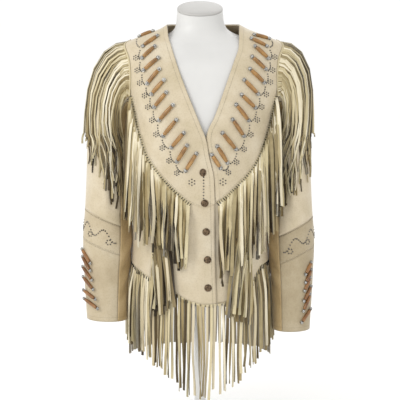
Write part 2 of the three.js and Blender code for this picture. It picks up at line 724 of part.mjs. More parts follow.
function outermost(x, z, behind) {
  const level = levelOf(z);
  const sign = behind ? 1 : -1;
  const depth = behind ? bodyAt.back(level) : bodyAt.front(level);
  let best = 0;
  for (const shift of [-5, 0, 5]) {
    const share = Math.abs((x + shift - bodyAt.mid(level)) / bodyAt.half(level));
    if (share < 1) best = Math.max(best, depth * (1 - share ** sectionPower) ** (1 / sectionPower));
    for (const rise of [-cell, 0, cell]) {
      const key = `${Math.round((x + shift) / cell)},${Math.round((z + rise) / cell)}`;
      const found = (behind ? field.back : field.front).get(key);
      if (found !== undefined) best = Math.max(best, found * sign);
    }
  }
  return best * sign;
}

// the depth at which a strand hangs below a root, resting on whatever stands out furthest above
function hangDepth(x, from, z, behind) {
  let best = 0;
  for (let at = from; at >= z; at -= 8) {
    const depth = outermost(x, at, behind);
    if (Math.abs(depth) > Math.abs(best)) best = depth;
  }
  return best;
}

// values for strand i of n from a table of shares and values
function along(table, share) {
  let i = 0;
  while (i < table.length - 2 && share > table[i + 1][0]) i += 1;
  const t = (share - table[i][0]) / (table[i + 1][0] - table[i][0]);
  return table[i].map((value, k) => value + (table[i + 1][k] - value) * t);
}

// small uneven numbers that are the same on every run
function uneven(i, seed) {
  const value = Math.sin(i * 12.9898 + seed * 78.233) * 43758.5453;
  return value - Math.floor(value) - 0.5;
}

function resample(line, count) {
  const lengths = line.slice(1).map((p, i) => Math.hypot(p[0] - line[i][0], p[1] - line[i][1]));
  const total = lengths.reduce((a, b) => a + b, 0);
  return Array.from({ length: count }, (_, k) => {
    let rest = (total * k) / (count - 1);
    let i = 0;
    while (i < lengths.length - 1 && rest > lengths[i]) {
      rest -= lengths[i];
      i += 1;
    }
    const t = rest / lengths[i];
    return [line[i][0] + (line[i + 1][0] - line[i][0]) * t, line[i][1] + (line[i + 1][1] - line[i][1]) * t];
  });
}

const stripLow = wall + 0.7;
const stripHigh = stripLow + 1.3;
const stripWide = 6;

// yoke fringe at an armhole: the strands fan out over the sleeve cap
function capStrands(sleeve, count, fromTurn, toTurn, tips) {
  const stations = [];
  const strands = [];
  const pitch = (toTurn - fromTurn) / count;
  for (let i = 0; i < count; i += 1) {
    const middleTurn = fromTurn + pitch * (i + 0.5);
    for (const side of [-0.27, 0.27]) {
      const turn = degrees(middleTurn + side * pitch);
      const at = (margin, out) => aroundArmhole(sleeve, turn, margin, out + 0.8);
      stations.push([at(6.9, stripHigh), at(0.9, stripHigh), at(0.9, stripLow), at(6.9, stripLow)]);
    }
    const [, tip] = along(tips, (i + 0.5) / count);
    const turn = degrees(middleTurn + 2 * uneven(i, 3));
    const end = tip + 14 * uneven(i, 1);
    const ways = [0.14, 0.42, 0.7, 1];
    const down = wayAt(end);
    ways.push(down);
    strands.push(ways.map((way, k) => {
      const lift = 4.4 + (k === 0 || k === ways.length - 1 ? 1.5 : 0);
      const middle = sleevePoint(sleeve, turn, way, lift);
      const ahead = sleevePoint(sleeve, turn + 0.02, way, lift).sub(sleevePoint(sleeve, turn - 0.02, way, lift));
      const across = ahead.normalize().multiplyScalar(Math.sign(toTurn - fromTurn));
      const normal = sleevePoint(sleeve, turn, way, lift + 1).sub(middle).normalize();
      return section(middle, across, normal, k < 2 ? 5.6 : 5.2);
    }));
  }
  return { stations, strands };
}

// fringe along an edge of the front or back view, hanging plumb
function edgeStrands(line, spec) {
  const { count, hang, lift, seed, behind = false, width = 5.4 } = spec;
  const fine = resample(line, 2 * count);
  const stations = fine.map((_, i) => {
    const at = (away, out) => besideEdge(fine, i, away, out, behind);
    return [at(seamGap, stripHigh), at(stripWide, stripHigh), at(stripWide, stripLow), at(seamGap, stripLow)];
  });
  const strands = [];
  const way = new THREE.Vector3(0, behind ? 1 : -1, 0);
  for (let i = 0; i < count; i += 1) {
    const share = (i + 0.5) / count;
    const root = stations[2 * i][1].clone().add(stations[2 * i + 1][2]).multiplyScalar(0.5);
    const [, hangX, tip] = along(hang, share);
    const order = Math.sign(stations[2 * i + 1][1].x - stations[2 * i][1].x) || 1;
    const across = new THREE.Vector3(order, 0, 0);
    const end = tip + 12 * uneven(i, seed);
    strands.push([root.z - 16, end].map((z, k) => {
      const reach = (k + 1) / 2;
      const here = k === 0 ? root.x + (hangX - root.x) * 0.5 : hangX;
      const depth = hangDepth(here, root.z, z - 12, behind);
      const middle = new THREE.Vector3(here + uneven(i, seed + 2) * 1.2 * reach, depth + way.y * lift, z);
      return section(middle, across, way, width);
    }));
  }
  return { stations, strands };
}

function joined(...parts) {
  return comb(parts.flatMap((part) => part.stations), parts.flatMap((part) => part.strands));
}

const rightCap = capStrands(sleeves.right, 9, 6, 104, [[0, 690], [0.25, 590], [0.6, 545], [1, 500]]);
const leftCap = capStrands(sleeves.left, 9, 6, 104, [[0, 690], [0.2, 570], [0.6, 530], [1, 490]]);
const rightDiagonal = edgeStrands(rightFringeEdge, {
  count: 15, lift: 9, seed: 5,
  hang: [[0, -166, 485], [0.24, -146, 455], [0.5, -108, 410], [0.71, -74, 425], [0.94, -36, 385], [1, -24, 376]],
});
const leftDiagonal = edgeStrands(leftYokeEdge, {
  count: 15, lift: 9, seed: 9,
  hang: [[0, 178, 500], [0.25, 158, 450], [0.5, 126, 400], [0.75, 80, 350], [1, 40, 340]],
});
addShape("fringe_yoke_right", joined(rightCap, rightDiagonal), strandColour);
addShape("fringe_yoke_left", joined(leftCap, leftDiagonal), strandColour);

const backRightCap = capStrands(sleeves.right, 5, -8, -104, [[0, 640], [0.4, 560], [1, 500]]);
const backLeftCap = capStrands(sleeves.left, 5, -104, -8, [[0, 500], [0.6, 560], [1, 640]]);
const backDiagonal = edgeStrands(backYokeEdge, {
  count: 18, lift: 5, behind: true, seed: 13,
  hang: [[0, -168, 490], [0.15, -138, 470], [0.5, 4, 380], [0.85, 146, 470], [1, 178, 490]],
});
addShape("fringe_yoke_back", joined(backRightCap, backDiagonal, backLeftCap), strandColour);

// princess seam fringe: a short upright backing on the seam with a bunch that hangs from it
function seamStrands(seam, side, count, top, bottom, hang, tips, seed) {
  const line = curve(seam.map(([, z]) => z), seam.map(([x]) => x));
  const stations = [];
  const strands = [];
  for (let i = 0; i < count; i += 1) {
    const middle = top + ((bottom - top) * (i + 0.5)) / count;
    const rootHalf = (0.27 * (top - bottom)) / count;
    for (const z of [middle + rootHalf, middle - rootHalf]) {
      const x = line(z);
      const at = (away, out) => onBody(x - side * away, z, out + 0.4);
      stations.push([at(-1, stripHigh), at(5, stripHigh), at(5, stripLow), at(-1, stripLow)]);
    }
    const x = hang[0] + ((hang[1] - hang[0]) * i) / (count - 1);
    const end = tips[0] + ((tips[1] - tips[0]) * i) / (count - 1) + 16 * uneven(i, seed);
    const bend = middle - 14;
    strands.push([bend, end].map((z) => {
      const depth = hangDepth(x, middle, z - 12, false);
      return section(new THREE.Vector3(x, depth - 5.6, z), new THREE.Vector3(side, 0, 0),
        new THREE.Vector3(0, -1, 0), 2.6);
    }));
  }
  return { stations, strands };
}

addShape("fringe_seam_right", joined(seamStrands(rightSeam, -1, 10, 520, 372, [-58, -97], [300, 285], 21)),
  strandColour);
addShape("fringe_seam_left", joined(seamStrands(leftSeam, 1, 10, 520, 372, [66, 103], [285, 262], 23)),
  strandColour);

// hem fringe, hanging from strips just below the panels
function hemStrands(hem, count, fromTurn, toTurn, tips, spec) {
  const stations = [];
  const strands = [];
  const heightAt = (turn) => {
    let z = 345;
    for (let pass = 0; pass < 4; pass += 1) {
      const { x, y } = bodySurface(turn, levelOf(z));
      const table = y < 0 ? hem : backHemLine;
      let k = 0;
      while (k < table.length - 2 && x > table[k + 1][0]) k += 1;
      const t = Math.min(Math.max((x - table[k][0]) / (table[k + 1][0] - table[k][0]), 0), 1);
      z = table[k][1] + (table[k + 1][1] - table[k][1]) * t;
    }
    return z;
  };
  for (let i = 0; i < count; i += 1) {
    const turnAt = (share) => fromTurn + (toTurn - fromTurn) * share;
    const width = spec.fill / 2;
    for (const share of [(i + 0.5 - width) / count, (i + 0.5 + width) / count]) {
      const turn = turnAt(share);
      const z = heightAt(turn);
      const at = (down, out) => bodyPoint(turn, levelOf(z - down), out);
      stations.push([at(1.3, wall), at(stripWide, wall), at(stripWide, 0), at(1.3, 0)]);
    }
    const turn = turnAt((i + 0.5) / count);
    const here = bodySurface(turn, levelOf(300));
    const [, tip] = along(tips, here.x);
    const end = tip + spec.ragged * uneven(i, spec.seed);
    const low = heightAt(turn) - stripWide;
    strands.push([end].map((z, k) => {
      const middle = bodyPoint(turn, levelOf(z), wall / 2);
      const sway = 2.4 * (k + 1) * uneven(i, spec.seed + 1) * spec.sway;
      const tangent = bodyPoint(turn + 0.01, levelOf(z), 0).sub(bodyPoint(turn - 0.01, levelOf(z), 0)).normalize();
      const normal = bodyPoint(turn, levelOf(z), 1).sub(bodyPoint(turn, levelOf(z), 0)).normalize();
      middle.addScaledVector(normal, sway);
      return section(middle, tangent, normal, spec.width, strandThick);
    }));
  }
  return { stations, strands };
}

const hemTips = [
  [-160, 200], [-130, 188], [-97, 164], [-65, 134], [-54, 121], [-11, 98], [10, 94], [21, 96], [60, 114], [97, 144],
  [119, 173], [160, 216],
];
const frontTurnAt = (x) => placeOnBody(x, 300, false).turn;
const rightHemLine = [...[...rightSideHem].reverse().slice(0, -1), ...[...rightHem].reverse()];
const leftHemLine = [...leftHem.slice(2, -1), ...leftSideHem];
const backHemLine = [[-159, 381], [-124, 345], [124, 345], [159, 381]];
addShape("fringe_hem_right", joined(hemStrands(rightHemLine, 24, degrees(-176), frontTurnAt(35), hemTips,
  { fill: 0.74, width: 5.6, ragged: 14, sway: 0.8, seed: 31 })), strandColour);
addShape("fringe_hem_left", joined(hemStrands(leftHemLine, 16, frontTurnAt(38), degrees(-4), hemTips,
  { fill: 0.74, width: 5.6, ragged: 14, sway: 0.8, seed: 37 })), strandColour);
addShape("fringe_hem_back", joined(hemStrands(rightHemLine, 34, degrees(4), degrees(176), [[-170, 156], [170, 156]],
  { fill: 0.82, width: 7.6, ragged: 3, sway: 0.3, seed: 41 })), strandColour);

// snap caps on the front edge
function disc(centre, normal, rows, count) {
  const side = new THREE.Vector3(1, 0, 0);
  side.addScaledVector(normal, -side.dot(normal)).normalize();
  const up = normal.clone().cross(side);
  return stack(rows.map(([radius, height]) => Array.from({ length: count }, (_, i) => {
    const turn = (2 * Math.PI * i) / count;
    return centre.clone().addScaledVector(side, radius * Math.cos(turn)).addScaledVector(up, radius * Math.sin(turn))
      .addScaledVector(normal, height);
  })));
}

snapSpots.forEach(([x, z, rise], i) => {
  const onYoke = z > 510;
  const top = (onYoke ? yokeHigh : wall) + rise;
  const centre = onBody(x, z, top);
  const normal = onBody(x, z, top + 1).sub(centre).normalize();
  addShape(`snap_${i + 1}`, disc(centre, normal, [[snapRadius - 0.6, 0], [snapRadius, 0.8], [6.4, 2.2], [2.6, 2.8]], 10),
    0x352617);
});

// dress form: inside the jacket it is the same lattice set inwards
const formGap = curve([300, 560, 700, 760, 800, 880], [12, 9, 4.4, 3.4, 0.9, 0.9]);
const formHeights = [formBottom, ...shellHeights.filter((z) => z > formBottom + 12 && z < 850)];
const formRings = formHeights.map((z) => turns.map((turn) => bodyPoint(turn, levelOf(z), -formGap(z))));
formRings.unshift(formRings[0].map((p) => new THREE.Vector3(p.x * 0.94, p.y * 0.94, formBottom - 8)));
for (const row of neckRows) {
  formRings.push(turns.map((turn) => {
    const sine = rounded(Math.sin(turn), 2.1);
    const y = (sine < 0 ? row.front : row.back) * sine;
    const share = Math.max((row.z - neckTiltFrom) / (neckTop - neckTiltFrom), 0);
    return new THREE.Vector3(row.mid + row.half * rounded(Math.cos(turn), 2.1), y, row.z + share * capTilt * y);
  }));
}
addShape("form_body", stack(formRings), formColour);
const capBase = formRings[formRings.length - 1];
const capMiddle = capBase.reduce((sum, p) => sum.add(p), new THREE.Vector3()).divideScalar(capBase.length);
const capRing = (grow, height) => capBase.filter((_, i) => i % 2 === 0).map((p) => capMiddle.clone()
  .add(p.clone().sub(capMiddle).multiplyScalar(grow)).add(new THREE.Vector3(0, -capTilt * height, height)));
addShape("form_cap", stack([
  capRing(1.0, seamGap), capRing(1.005, seamGap + capHeight), capRing(0.94, seamGap + capHeight + 2),
  capRing(0.5, seamGap + capLift - 3), capRing(0.16, seamGap + capLift - 2.5),
]), 0xcecbc6);

const upright = new THREE.Vector3(0, 0, 1);
addShape("stand_pole", disc(new THREE.Vector3(0, 0, baseHeight + seamGap), upright, [
  [poleRadius, 0], [poleRadius, formBottom - 8 - baseHeight - 2 * seamGap],
], 20), 0x9a9a98);
addShape("stand_base", disc(new THREE.Vector3(0, 0, 0), upright, [
  [baseRadius - 1, 0], [baseRadius, 1], [baseRadius, baseHeight - 3], [baseRadius - 4, baseHeight],
], 32), 0x9a9a98);

export default group;
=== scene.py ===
import bpy
import bmesh
import math
import numpy as np
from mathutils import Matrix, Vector


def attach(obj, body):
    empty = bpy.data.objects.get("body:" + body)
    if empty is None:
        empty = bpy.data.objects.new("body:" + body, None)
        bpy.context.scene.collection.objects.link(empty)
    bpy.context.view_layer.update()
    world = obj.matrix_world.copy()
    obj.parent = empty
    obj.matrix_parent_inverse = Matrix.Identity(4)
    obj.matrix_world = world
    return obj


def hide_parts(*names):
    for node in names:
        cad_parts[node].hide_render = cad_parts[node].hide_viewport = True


# Fringed leather jacket on a smooth dress form without limbs.
# All sizes are millimetres until makeObject turns them into metres. The front faces -Y.
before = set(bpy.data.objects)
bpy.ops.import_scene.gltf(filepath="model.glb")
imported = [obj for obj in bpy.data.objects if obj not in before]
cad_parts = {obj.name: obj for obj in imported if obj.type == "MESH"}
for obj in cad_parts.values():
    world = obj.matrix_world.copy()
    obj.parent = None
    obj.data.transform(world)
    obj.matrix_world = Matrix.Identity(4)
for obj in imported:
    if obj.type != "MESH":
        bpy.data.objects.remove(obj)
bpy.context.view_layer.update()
rng = np.random.default_rng(11)
print("frame loaded:", len(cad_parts), "nodes")

# camera, from the photograph's scale and its slightly raised viewpoint
cameraSettings = dict(distance=3000, elevation=8, aimHeight=505.6, mmPerPixel=2.2, imageSide=400, sensor=36)


def addCamera(s):
    lean = math.radians(s["elevation"])
    aim = Vector((0, 0, s["aimHeight"])) / 1000
    away = Vector((0, -math.cos(lean), math.sin(lean))) * s["distance"] / 1000
    data = bpy.data.cameras.new("studioCamera")
    data.sensor_width = s["sensor"]
    data.lens = s["sensor"] * s["distance"] / (s["mmPerPixel"] * s["imageSide"])
    data.clip_end = 1000
    item = bpy.data.objects.new("studioCamera", data)
    item.location = aim + away
    item.rotation_euler = (-away).to_track_quat("-Z", "Y").to_euler()
    bpy.context.scene.collection.objects.link(item)
    bpy.context.scene.camera = item


addCamera(cameraSettings)


# curves and small tools

def monotone(xs, ys):
    # cubic through the table whose slopes are weighted harmonic means of the steps, so it never overshoots
    xs = np.asarray(xs, float)
    ys = np.asarray(ys, float)
    steps = np.diff(xs)
    rates = np.diff(ys) / steps
    first = 2 * steps[1:] + steps[:-1]
    second = steps[1:] + 2 * steps[:-1]
    same = rates[:-1] * rates[1:] > 0
    low = np.where(same, rates[:-1], 1)
    high = np.where(same, rates[1:], 1)
    means = np.where(same, (first + second) / (first / low + second / high), 0)
    slopes = np.concatenate([rates[:1], means, rates[-1:]])

    def at(x):
        q = np.clip(x, xs[0], xs[-1])
        i = np.clip(np.searchsorted(xs, q) - 1, 0, len(xs) - 2)
        t = (q - xs[i]) / steps[i]
        s = 1 - t
        start = (1 + 2 * t) * s * s * ys[i] + t * s * s * steps[i] * slopes[i]
        return start + t * t * (3 - 2 * t) * ys[i + 1] - t * t * s * steps[i] * slopes[i + 1]

    return at


def runOf(points):
    # the distance covered at every point of a line
    return np.concatenate([[0], np.cumsum(np.linalg.norm(np.diff(points, axis=0), axis=1))])


def smoothLine(points, count):
    # the same cubic for each coordinate against the distance along the points
    points = np.asarray(points, float)
    reach = runOf(points)
    share = np.linspace(0, reach[-1], count)
    return np.stack([monotone(reach, points[:, k])(share) for k in range(points.shape[1])], 1)


def evenLine(points, count):
    # straight-line resampling to equal steps
    reach = runOf(points)
    share = np.linspace(0, reach[-1], count)
    return np.stack([np.interp(share, reach, points[:, k]) for k in range(points.shape[1])], 1)


def ease(x):
    # 0 below 0, 1 above 1 and a soft S between
    t = np.clip(x, 0, 1)
    return t * t * (3 - 2 * t)


def unit(v):
    return v / np.maximum(np.linalg.norm(v, axis=-1, keepdims=True), 1e-9)


def facing(surface, u, v, stepU, stepV):
    # outward direction: the cross product of a small step along u and one along v
    alongU = surface(u + stepU, v) - surface(u - stepU, v)
    alongV = surface(u, v + stepV) - surface(u, v - stepV)
    return unit(np.cross(alongU, alongV))


# the worn body that every panel lies on
body = dict(
    rows=[  # height, centre, half width, depth in front, depth behind
        (60, 0, 157, 128, 116), (200, 0, 157, 128, 115), (280, 0, 156, 127, 113), (330, 0, 154, 124, 110),
        (380, 0, 150, 120, 103), (430, 0, 147, 117, 96), (480, 0, 147, 117, 94), (540, 0, 148, 120, 93),
        (600, 1, 150, 126, 97), (660, 4, 153, 130, 103), (690, 6, 156, 128, 105), (720, 8, 164, 122, 107),
        (760, 8, 173, 112, 106), (800, 8, 177, 98, 101), (830, 8, 178, 80, 92), (843, 8, 174, 70, 85),
        (849, 8, 165, 64, 80), (853, 8, 154, 61, 77), (861, 8, 134, 56, 73), (869, 8, 112, 53, 69),
        (877, 8, 92, 50, 65), (886, 7, 76, 47, 60),
    ],
    power=2.3,
    wall=1.5,
    yokeTop=3.25,
    yokeWall=1.4,
    lapDrop=1.9,  # how far the left front lies below the right one
)
bodyRows = np.array(body["rows"], float)
rowSteps = np.hypot(np.diff(bodyRows[:, 0]), np.diff(bodyRows[:, 2]))
bodyLevels = np.concatenate([[0], np.cumsum(rowSteps)])
heightAt, middleAt, halfAt, frontAt, backAt = [monotone(bodyLevels, bodyRows[:, k]) for k in range(5)]
topLevel = bodyLevels[-1]
fineLevels = np.linspace(0, topLevel, 4000)
fineHeights = heightAt(fineLevels)


def levelOf(z):
    return np.interp(z, fineHeights, fineLevels)


def rounded(value, power):
    return np.sign(value) * np.abs(value) ** (2 / power)


def bodySurface(turn, level):
    # a superellipse ring with its own depth in front and behind, at a distance level up the profile
    sine = rounded(np.sin(turn), body["power"])
    depth = np.where(sine < 0, frontAt(level), backAt(level))
    x = middleAt(level) + halfAt(level) * rounded(np.cos(turn), body["power"])
    return np.stack([x, depth * sine, heightAt(level)], -1)


def bodyNormal(turn, level):
    return facing(bodySurface, turn, np.minimum(level, topLevel - 1), 0.02, 0.9)


def placeOnBody(x, z, behind=False):
    # turn and level below a point of the front or back view
    level = levelOf(z)
    share = np.clip((x - middleAt(level)) / halfAt(level), -0.9995, 0.9995)
    turn = np.arccos(np.sign(share) * np.abs(share) ** (body["power"] / 2))
    return np.stack([turn if behind else -turn, level], -1)


def besideBody(y, z, side):
    # turn and level below a point of the side view; the front has turns from -pi to 0
    level = levelOf(z)
    depth = np.where(y < 0, frontAt(level), backAt(level))
    lean = np.arcsin(np.minimum(np.abs(y) / depth, 1) ** (body["power"] / 2))
    front = -lean if side > 0 else lean - math.pi
    back = lean if side > 0 else math.pi - lean
    return np.stack([np.where(y < 0, front, back), level], -1)


# soft creases: x and z of both ends, half width, rise (troughs are negative), in the front or back view
creases = dict(
    front=[
        (-142, 752, -113, 655, 5, -1.1), (-134, 752, -105, 662, 7, 1.0), (150, 750, 128, 668, 6, -0.8),
        (-118, 832, -70, 700, 20, 0.7), (-60, 690, -20, 560, 18, 0.6), (128, 820, 92, 690, 19, 0.7),
        (-92, 470, -84, 345, 9, 1.6), (-72, 480, -62, 330, 10, -1.3), (-48, 500, -40, 318, 9, 1.3),
        (60, 500, 52, 320, 10, 1.2), (78, 480, 76, 330, 9, -1.4), (-112, 640, -122, 450, 11, 1.5),
        (96, 470, 100, 345, 9, 1.5), (40, 470, 44, 316, 8, -0.7),
        (118, 650, 128, 440, 12, 1.6), (-136, 600, -137, 420, 8, -1.0), (137, 610, 138, 410, 8, -0.9),
        (-15, 492, -13, 372, 7, -2.2), (-26, 480, -25, 356, 7, 1.6), (50, 470, 58, 352, 7, 1.5),
        (-90, 470, -50, 452, 7, -0.7), (62, 462, 104, 478, 7, -0.7), (-10, 620, 20, 604, 8, 0.5),
    ],
    back=[
        (-96, 560, -108, 360, 14, 2.2), (-66, 590, -72, 352, 12, -1.8), (-34, 560, -36, 350, 15, 2.0),
        (-6, 580, 2, 350, 11, -1.5), (30, 560, 38, 352, 15, 1.9), (64, 590, 74, 352, 12, -1.9),
        (98, 560, 112, 360, 14, 2.1), (-110, 640, -132, 450, 9, -1.4), (112, 650, 134, 440, 10, -1.3),
        (-96, 486, -30, 470, 8, -0.9), (28, 476, 100, 492, 8, -0.9), (-70, 462, 60, 452, 9, 0.8),
        (-104, 800, -60, 690, 22, 0.8), (112, 806, 74, 690, 22, 0.8), (-28, 800, -18, 660, 24, -0.6),
        (40, 800, 30, 660, 24, -0.6), (6, 846, 8, 780, 16, 0.6),
    ],
)


def creaseRise(table, x, z):
    # each crease is a Gaussian of the distance to its segment, faded to nothing over its end quarters
    total = np.zeros_like(x)
    for x0, z0, x1, z1, width, rise in table:
        length = math.hypot(x1 - x0, z1 - z0)
        share = ((x - x0) * (x1 - x0) + (z - z0) * (z1 - z0)) / length ** 2
        off = ((x - x0) * (z1 - z0) - (z - z0) * (x1 - x0)) / length
        fade = ease((share + 0.15) / 0.4) * ease((1.15 - share) / 0.4)
        total = total + rise * fade * np.exp(-(off / width) ** 2)
    return total


def lapRise(points):
    # the left front sinks under the right one near the middle
    across = 1 - ease((points[..., 0] - 42) / 18)
    up = 1 - ease((points[..., 2] - 690) / 30)
    return np.where(points[..., 1] < 0, -body["lapDrop"] * across * up, 0)


def onBody(place, out, lap=False, creased=True):
    # points out millimetres outside the body, with its creases
    turn = place[..., 0]
    level = place[..., 1]
    flat = bodySurface(turn, level)
    rise = np.full(flat.shape[:-1], float(out)) if np.isscalar(out) else out
    if creased:
        front = creaseRise(creases["front"], flat[..., 0], flat[..., 2])
        back = creaseRise(creases["back"], flat[..., 0], flat[..., 2])
        rise = rise + np.where(flat[..., 1] < 0, front, back) * ease((np.abs(flat[..., 1]) - 8) / 40)
    if lap:
        rise = rise + lapRise(flat)
    return flat + bodyNormal(turn, level) * rise[..., None]


# meshes

def makeObject(name, vertices, faceGroups, materials, smooth=True):
    data = bpy.data.meshes.new(name)
    faces = [face for group in faceGroups for face in np.asarray(group).tolist()]
    data.from_pydata((np.asarray(vertices).reshape(-1, 3) / 1000).tolist(), [], faces)
    for material in materials:
        data.materials.append(material)
    data.polygons.foreach_set("use_smooth", [smooth] * len(data.polygons))
    item = bpy.data.objects.new(name, data)
    bpy.context.scene.collection.objects.link(item)
    return item


def gridFaces(rows, columns, wrap=False, start=0):
    index = np.arange(rows * columns).reshape(rows, columns) + start
    if wrap:
        index = np.concatenate([index, index[:, :1]], 1)
    corners = [index[:-1, :-1], index[:-1, 1:], index[1:, 1:], index[1:, :-1]]
    return np.stack(corners, -1).reshape(-1, 4)


def setFloats(item, name, values):
    layer = item.data.attributes.new(name, "FLOAT", "POINT")
    layer.data.foreach_set("value", np.asarray(values, np.float32).ravel())


def thicken(item, wall):
    # the cloth's outer face is drawn; its wall grows inwards and takes the flesh side's material
    made = item.modifiers.new("wall", "SOLIDIFY")
    made.thickness = wall / 1000
    made.offset = -1
    made.material_offset = 1


def recalculate(item):
    made = bmesh.new()
    made.from_mesh(item.data)
    bmesh.ops.recalc_face_normals(made, faces=made.faces)
    made.to_mesh(item.data)
    made.free()


def lathe(profile, sides):
    # a profile of radius and height turned round +Z, with a point at each end
    profile = np.asarray(profile, float)
    angle = 2 * math.pi * np.arange(sides) / sides
    ring = np.stack([np.cos(angle), np.sin(angle)], -1)
    heights = np.broadcast_to(profile[:, None, 1:], (len(profile), sides, 1))
    rings = np.concatenate([profile[:, None, :1] * ring, heights], -1)
    count = len(profile) * sides
    vertices = np.concatenate([rings.reshape(-1, 3), [[0, 0, profile[0, 1]], [0, 0, profile[-1, 1]]]])
    here = np.arange(sides)
    after = (here + 1) % sides
    low = np.stack([after, here, np.full(sides, count)], -1)
    high = np.stack([here + count - sides, after + count - sides, np.full(sides, count + 1)], -1)
    return vertices, [gridFaces(len(profile), sides, wrap=True), low, high]


def repeatShape(shape, centres, axes):
    # the same small shape at every centre, its x, y and z turned to the three axes there
    vertices, groups = shape
    placed = np.einsum("vk,nkc->nvc", vertices, axes) + centres[:, None, :]
    shift = np.arange(len(centres))[:, None, None] * len(vertices)
    return placed.reshape(-1, 3), [(group[None] + shift).reshape(-1, group.shape[1]) for group in groups]


def joinShapes(parts):
    vertices = []
    groups = []
    count = 0
    for points, faces in parts:
        vertices.append(points)
        groups.extend(group + count for group in faces)
        count += len(points)
    return np.concatenate(vertices), groups


# materials

def paint(code):
    # sRGB hex to linear
    values = [int(code[i:i + 2], 16) / 255 for i in (0, 2, 4)]
    return [v / 12.92 if v <= 0.04045 else ((v + 0.055) / 1.055) ** 2.4 for v in values] + [1.0]


def addNode(tree, kind, links=None, **settings):
    node = tree.nodes.new(kind)
    for key, value in settings.items():
        setattr(node, key, value)
    for socket, value in (links or {}).items():
        if isinstance(value, bpy.types.NodeSocket):
            tree.links.new(value, node.inputs[socket])
        else:
            node.inputs[socket].default_value = value
    return node


def startMaterial(name):
    material = bpy.data.materials.new(name)
    material.use_nodes = True
    tree = material.node_tree
    tree.nodes.clear()
    place = addNode(tree, "ShaderNodeTexCoord").outputs["Object"]
    return material, tree, place


def finishMaterial(tree, sockets):
    shader = addNode(tree, "ShaderNodeBsdfPrincipled", sockets)
    addNode(tree, "ShaderNodeOutputMaterial", {"Surface": shader.outputs["BSDF"]})


def ramp(tree, source, stops):
    # colour stops along a value, each one a hex colour or a grey
    node = addNode(tree, "ShaderNodeValToRGB", {"Fac": source})
    while len(node.color_ramp.elements) < len(stops):
        node.color_ramp.elements.new(0.5)
    for element, (spot, tone) in zip(node.color_ramp.elements, stops):
        element.position = spot
        element.color = paint(tone) if isinstance(tone, str) else (tone, tone, tone, 1)
    return node.outputs["Color"]


def blend(tree, kind, factor, first, second):
    links = {0: factor, 6: first, 7: second}
    return addNode(tree, "ShaderNodeMix", links, data_type="RGBA", blend_type=kind).outputs[2]


def noise(tree, place, scale, detail, more=None):
    links = {"Vector": place, "Scale": float(scale), "Detail": float(detail), **(more or {})}
    return addNode(tree, "ShaderNodeTexNoise", links).outputs["Fac"]


def bump(tree, height, strength, distance, more=None):
    links = {"Height": height, "Strength": strength, "Distance": distance, **(more or {})}
    return addNode(tree, "ShaderNodeBump", links).outputs["Normal"]


def ranged(tree, value, low, high):
    links = {"Value": value, "To Min": low, "To Max": high}
    return addNode(tree, "ShaderNodeMapRange", links).outputs["Result"]


def worked(tree, kind, *values):
    return addNode(tree, "ShaderNodeMath", dict(enumerate(values)), operation=kind).outputs[0]


def stored(tree, name):
    # a value kept on the mesh itself
    return addNode(tree, "ShaderNodeAttribute", attribute_name=name).outputs["Fac"]


def leatherMaterial(name, tones):
    # aniline-dyed deerskin, tanned soft: cloudy tone, fine pebbled grain and a low waxy shine
    material, tree, place = startMaterial(name)
    cloud = noise(tree, place, 16, 5, {"Roughness": 0.6})
    # real grain is about 1 mm, under half a pixel here, so it is drawn at about 4 mm
    pebble = addNode(tree, "ShaderNodeTexVoronoi", {"Vector": place, "Scale": 260.0}).outputs["Distance"]
    pore = noise(tree, place, 900, 3)
    pull = noise(tree, place, 46, 4, {"Distortion": 0.6})
    base = ramp(tree, cloud, tones)
    speck = ramp(tree, pebble, [(0.0, "d8d2c6"), (0.5, "ffffff")])
    shaded = blend(tree, "MULTIPLY", 0.35, base, speck)
    # a pressed line runs where the edge is sewn down, darkened as painted shade in its groove, and the turned
    # edge itself is darkened as painted shade
    edge = worked(tree, "MULTIPLY", stored(tree, "edgeDistance"), 0.05)
    line = ramp(tree, edge, [(0.0, 0.7), (0.03, 1.0), (0.41, 1.0), (0.45, 0.62), (0.49, 1.0)])
    low = bump(tree, pull, 0.5, 0.0012)
    fine = bump(tree, pebble, 0.5, 0.00035, {"Normal": low})
    finishMaterial(tree, {
        "Base Color": blend(tree, "MULTIPLY", 0.6, shaded, line), "Roughness": ranged(tree, pore, 0.55, 0.72),
        "Normal": bump(tree, line, 0.6, 0.0006, {"Normal": fine}), "Sheen Weight": 0.25,
        "Sheen Roughness": 0.4,
        "IOR": 1.48})
    return material


def suedeMaterial(name, dark, light):
    # the flesh side: napped and matt, with a soft drag of lighter fibre
    material, tree, place = startMaterial(name)
    nap = noise(tree, place, 420, 6, {"Roughness": 0.7})
    patch = noise(tree, place, 26, 3)
    colour = ramp(tree, worked(tree, "MULTIPLY", nap, patch), [(0.12, dark), (0.42, light)])
    finishMaterial(tree, {
        "Base Color": colour, "Roughness": 0.93, "Normal": bump(tree, nap, 0.6, 0.0004), "Sheen Weight": 0.35,
        "Sheen Roughness": 0.5, "IOR": 1.45})
    return material


def strandMaterial(name, stops, roughness):
    # cut strips of the same hide: every strand takes its own tone, with painted shade darkening it where it
    # lies deep in the bunch
    material, tree, place = startMaterial(name)
    shift = worked(tree, "MULTIPLY_ADD", noise(tree, place, 70, 3), 0.24, -0.12)
    colour = ramp(tree, worked(tree, "ADD", stored(tree, "tone"), shift), stops)
    # painted shade from the stored depth value: near black deep in the bunch, none at the outside
    shade = ramp(tree, stored(tree, "depth"), [
        (0.0, "221a10"), (0.25, "6f6148"), (0.55, "cbc0a6"), (0.9, "ffffff")])
    grain = noise(tree, place, 380, 4)
    finishMaterial(tree, {
        "Base Color": blend(tree, "MULTIPLY", 1.0, colour, shade), "Roughness": roughness,
        "Normal": bump(tree, grain, 0.45, 0.0004), "Sheen Weight": 0.2, "Sheen Roughness": 0.45, "IOR": 1.46})
    return material


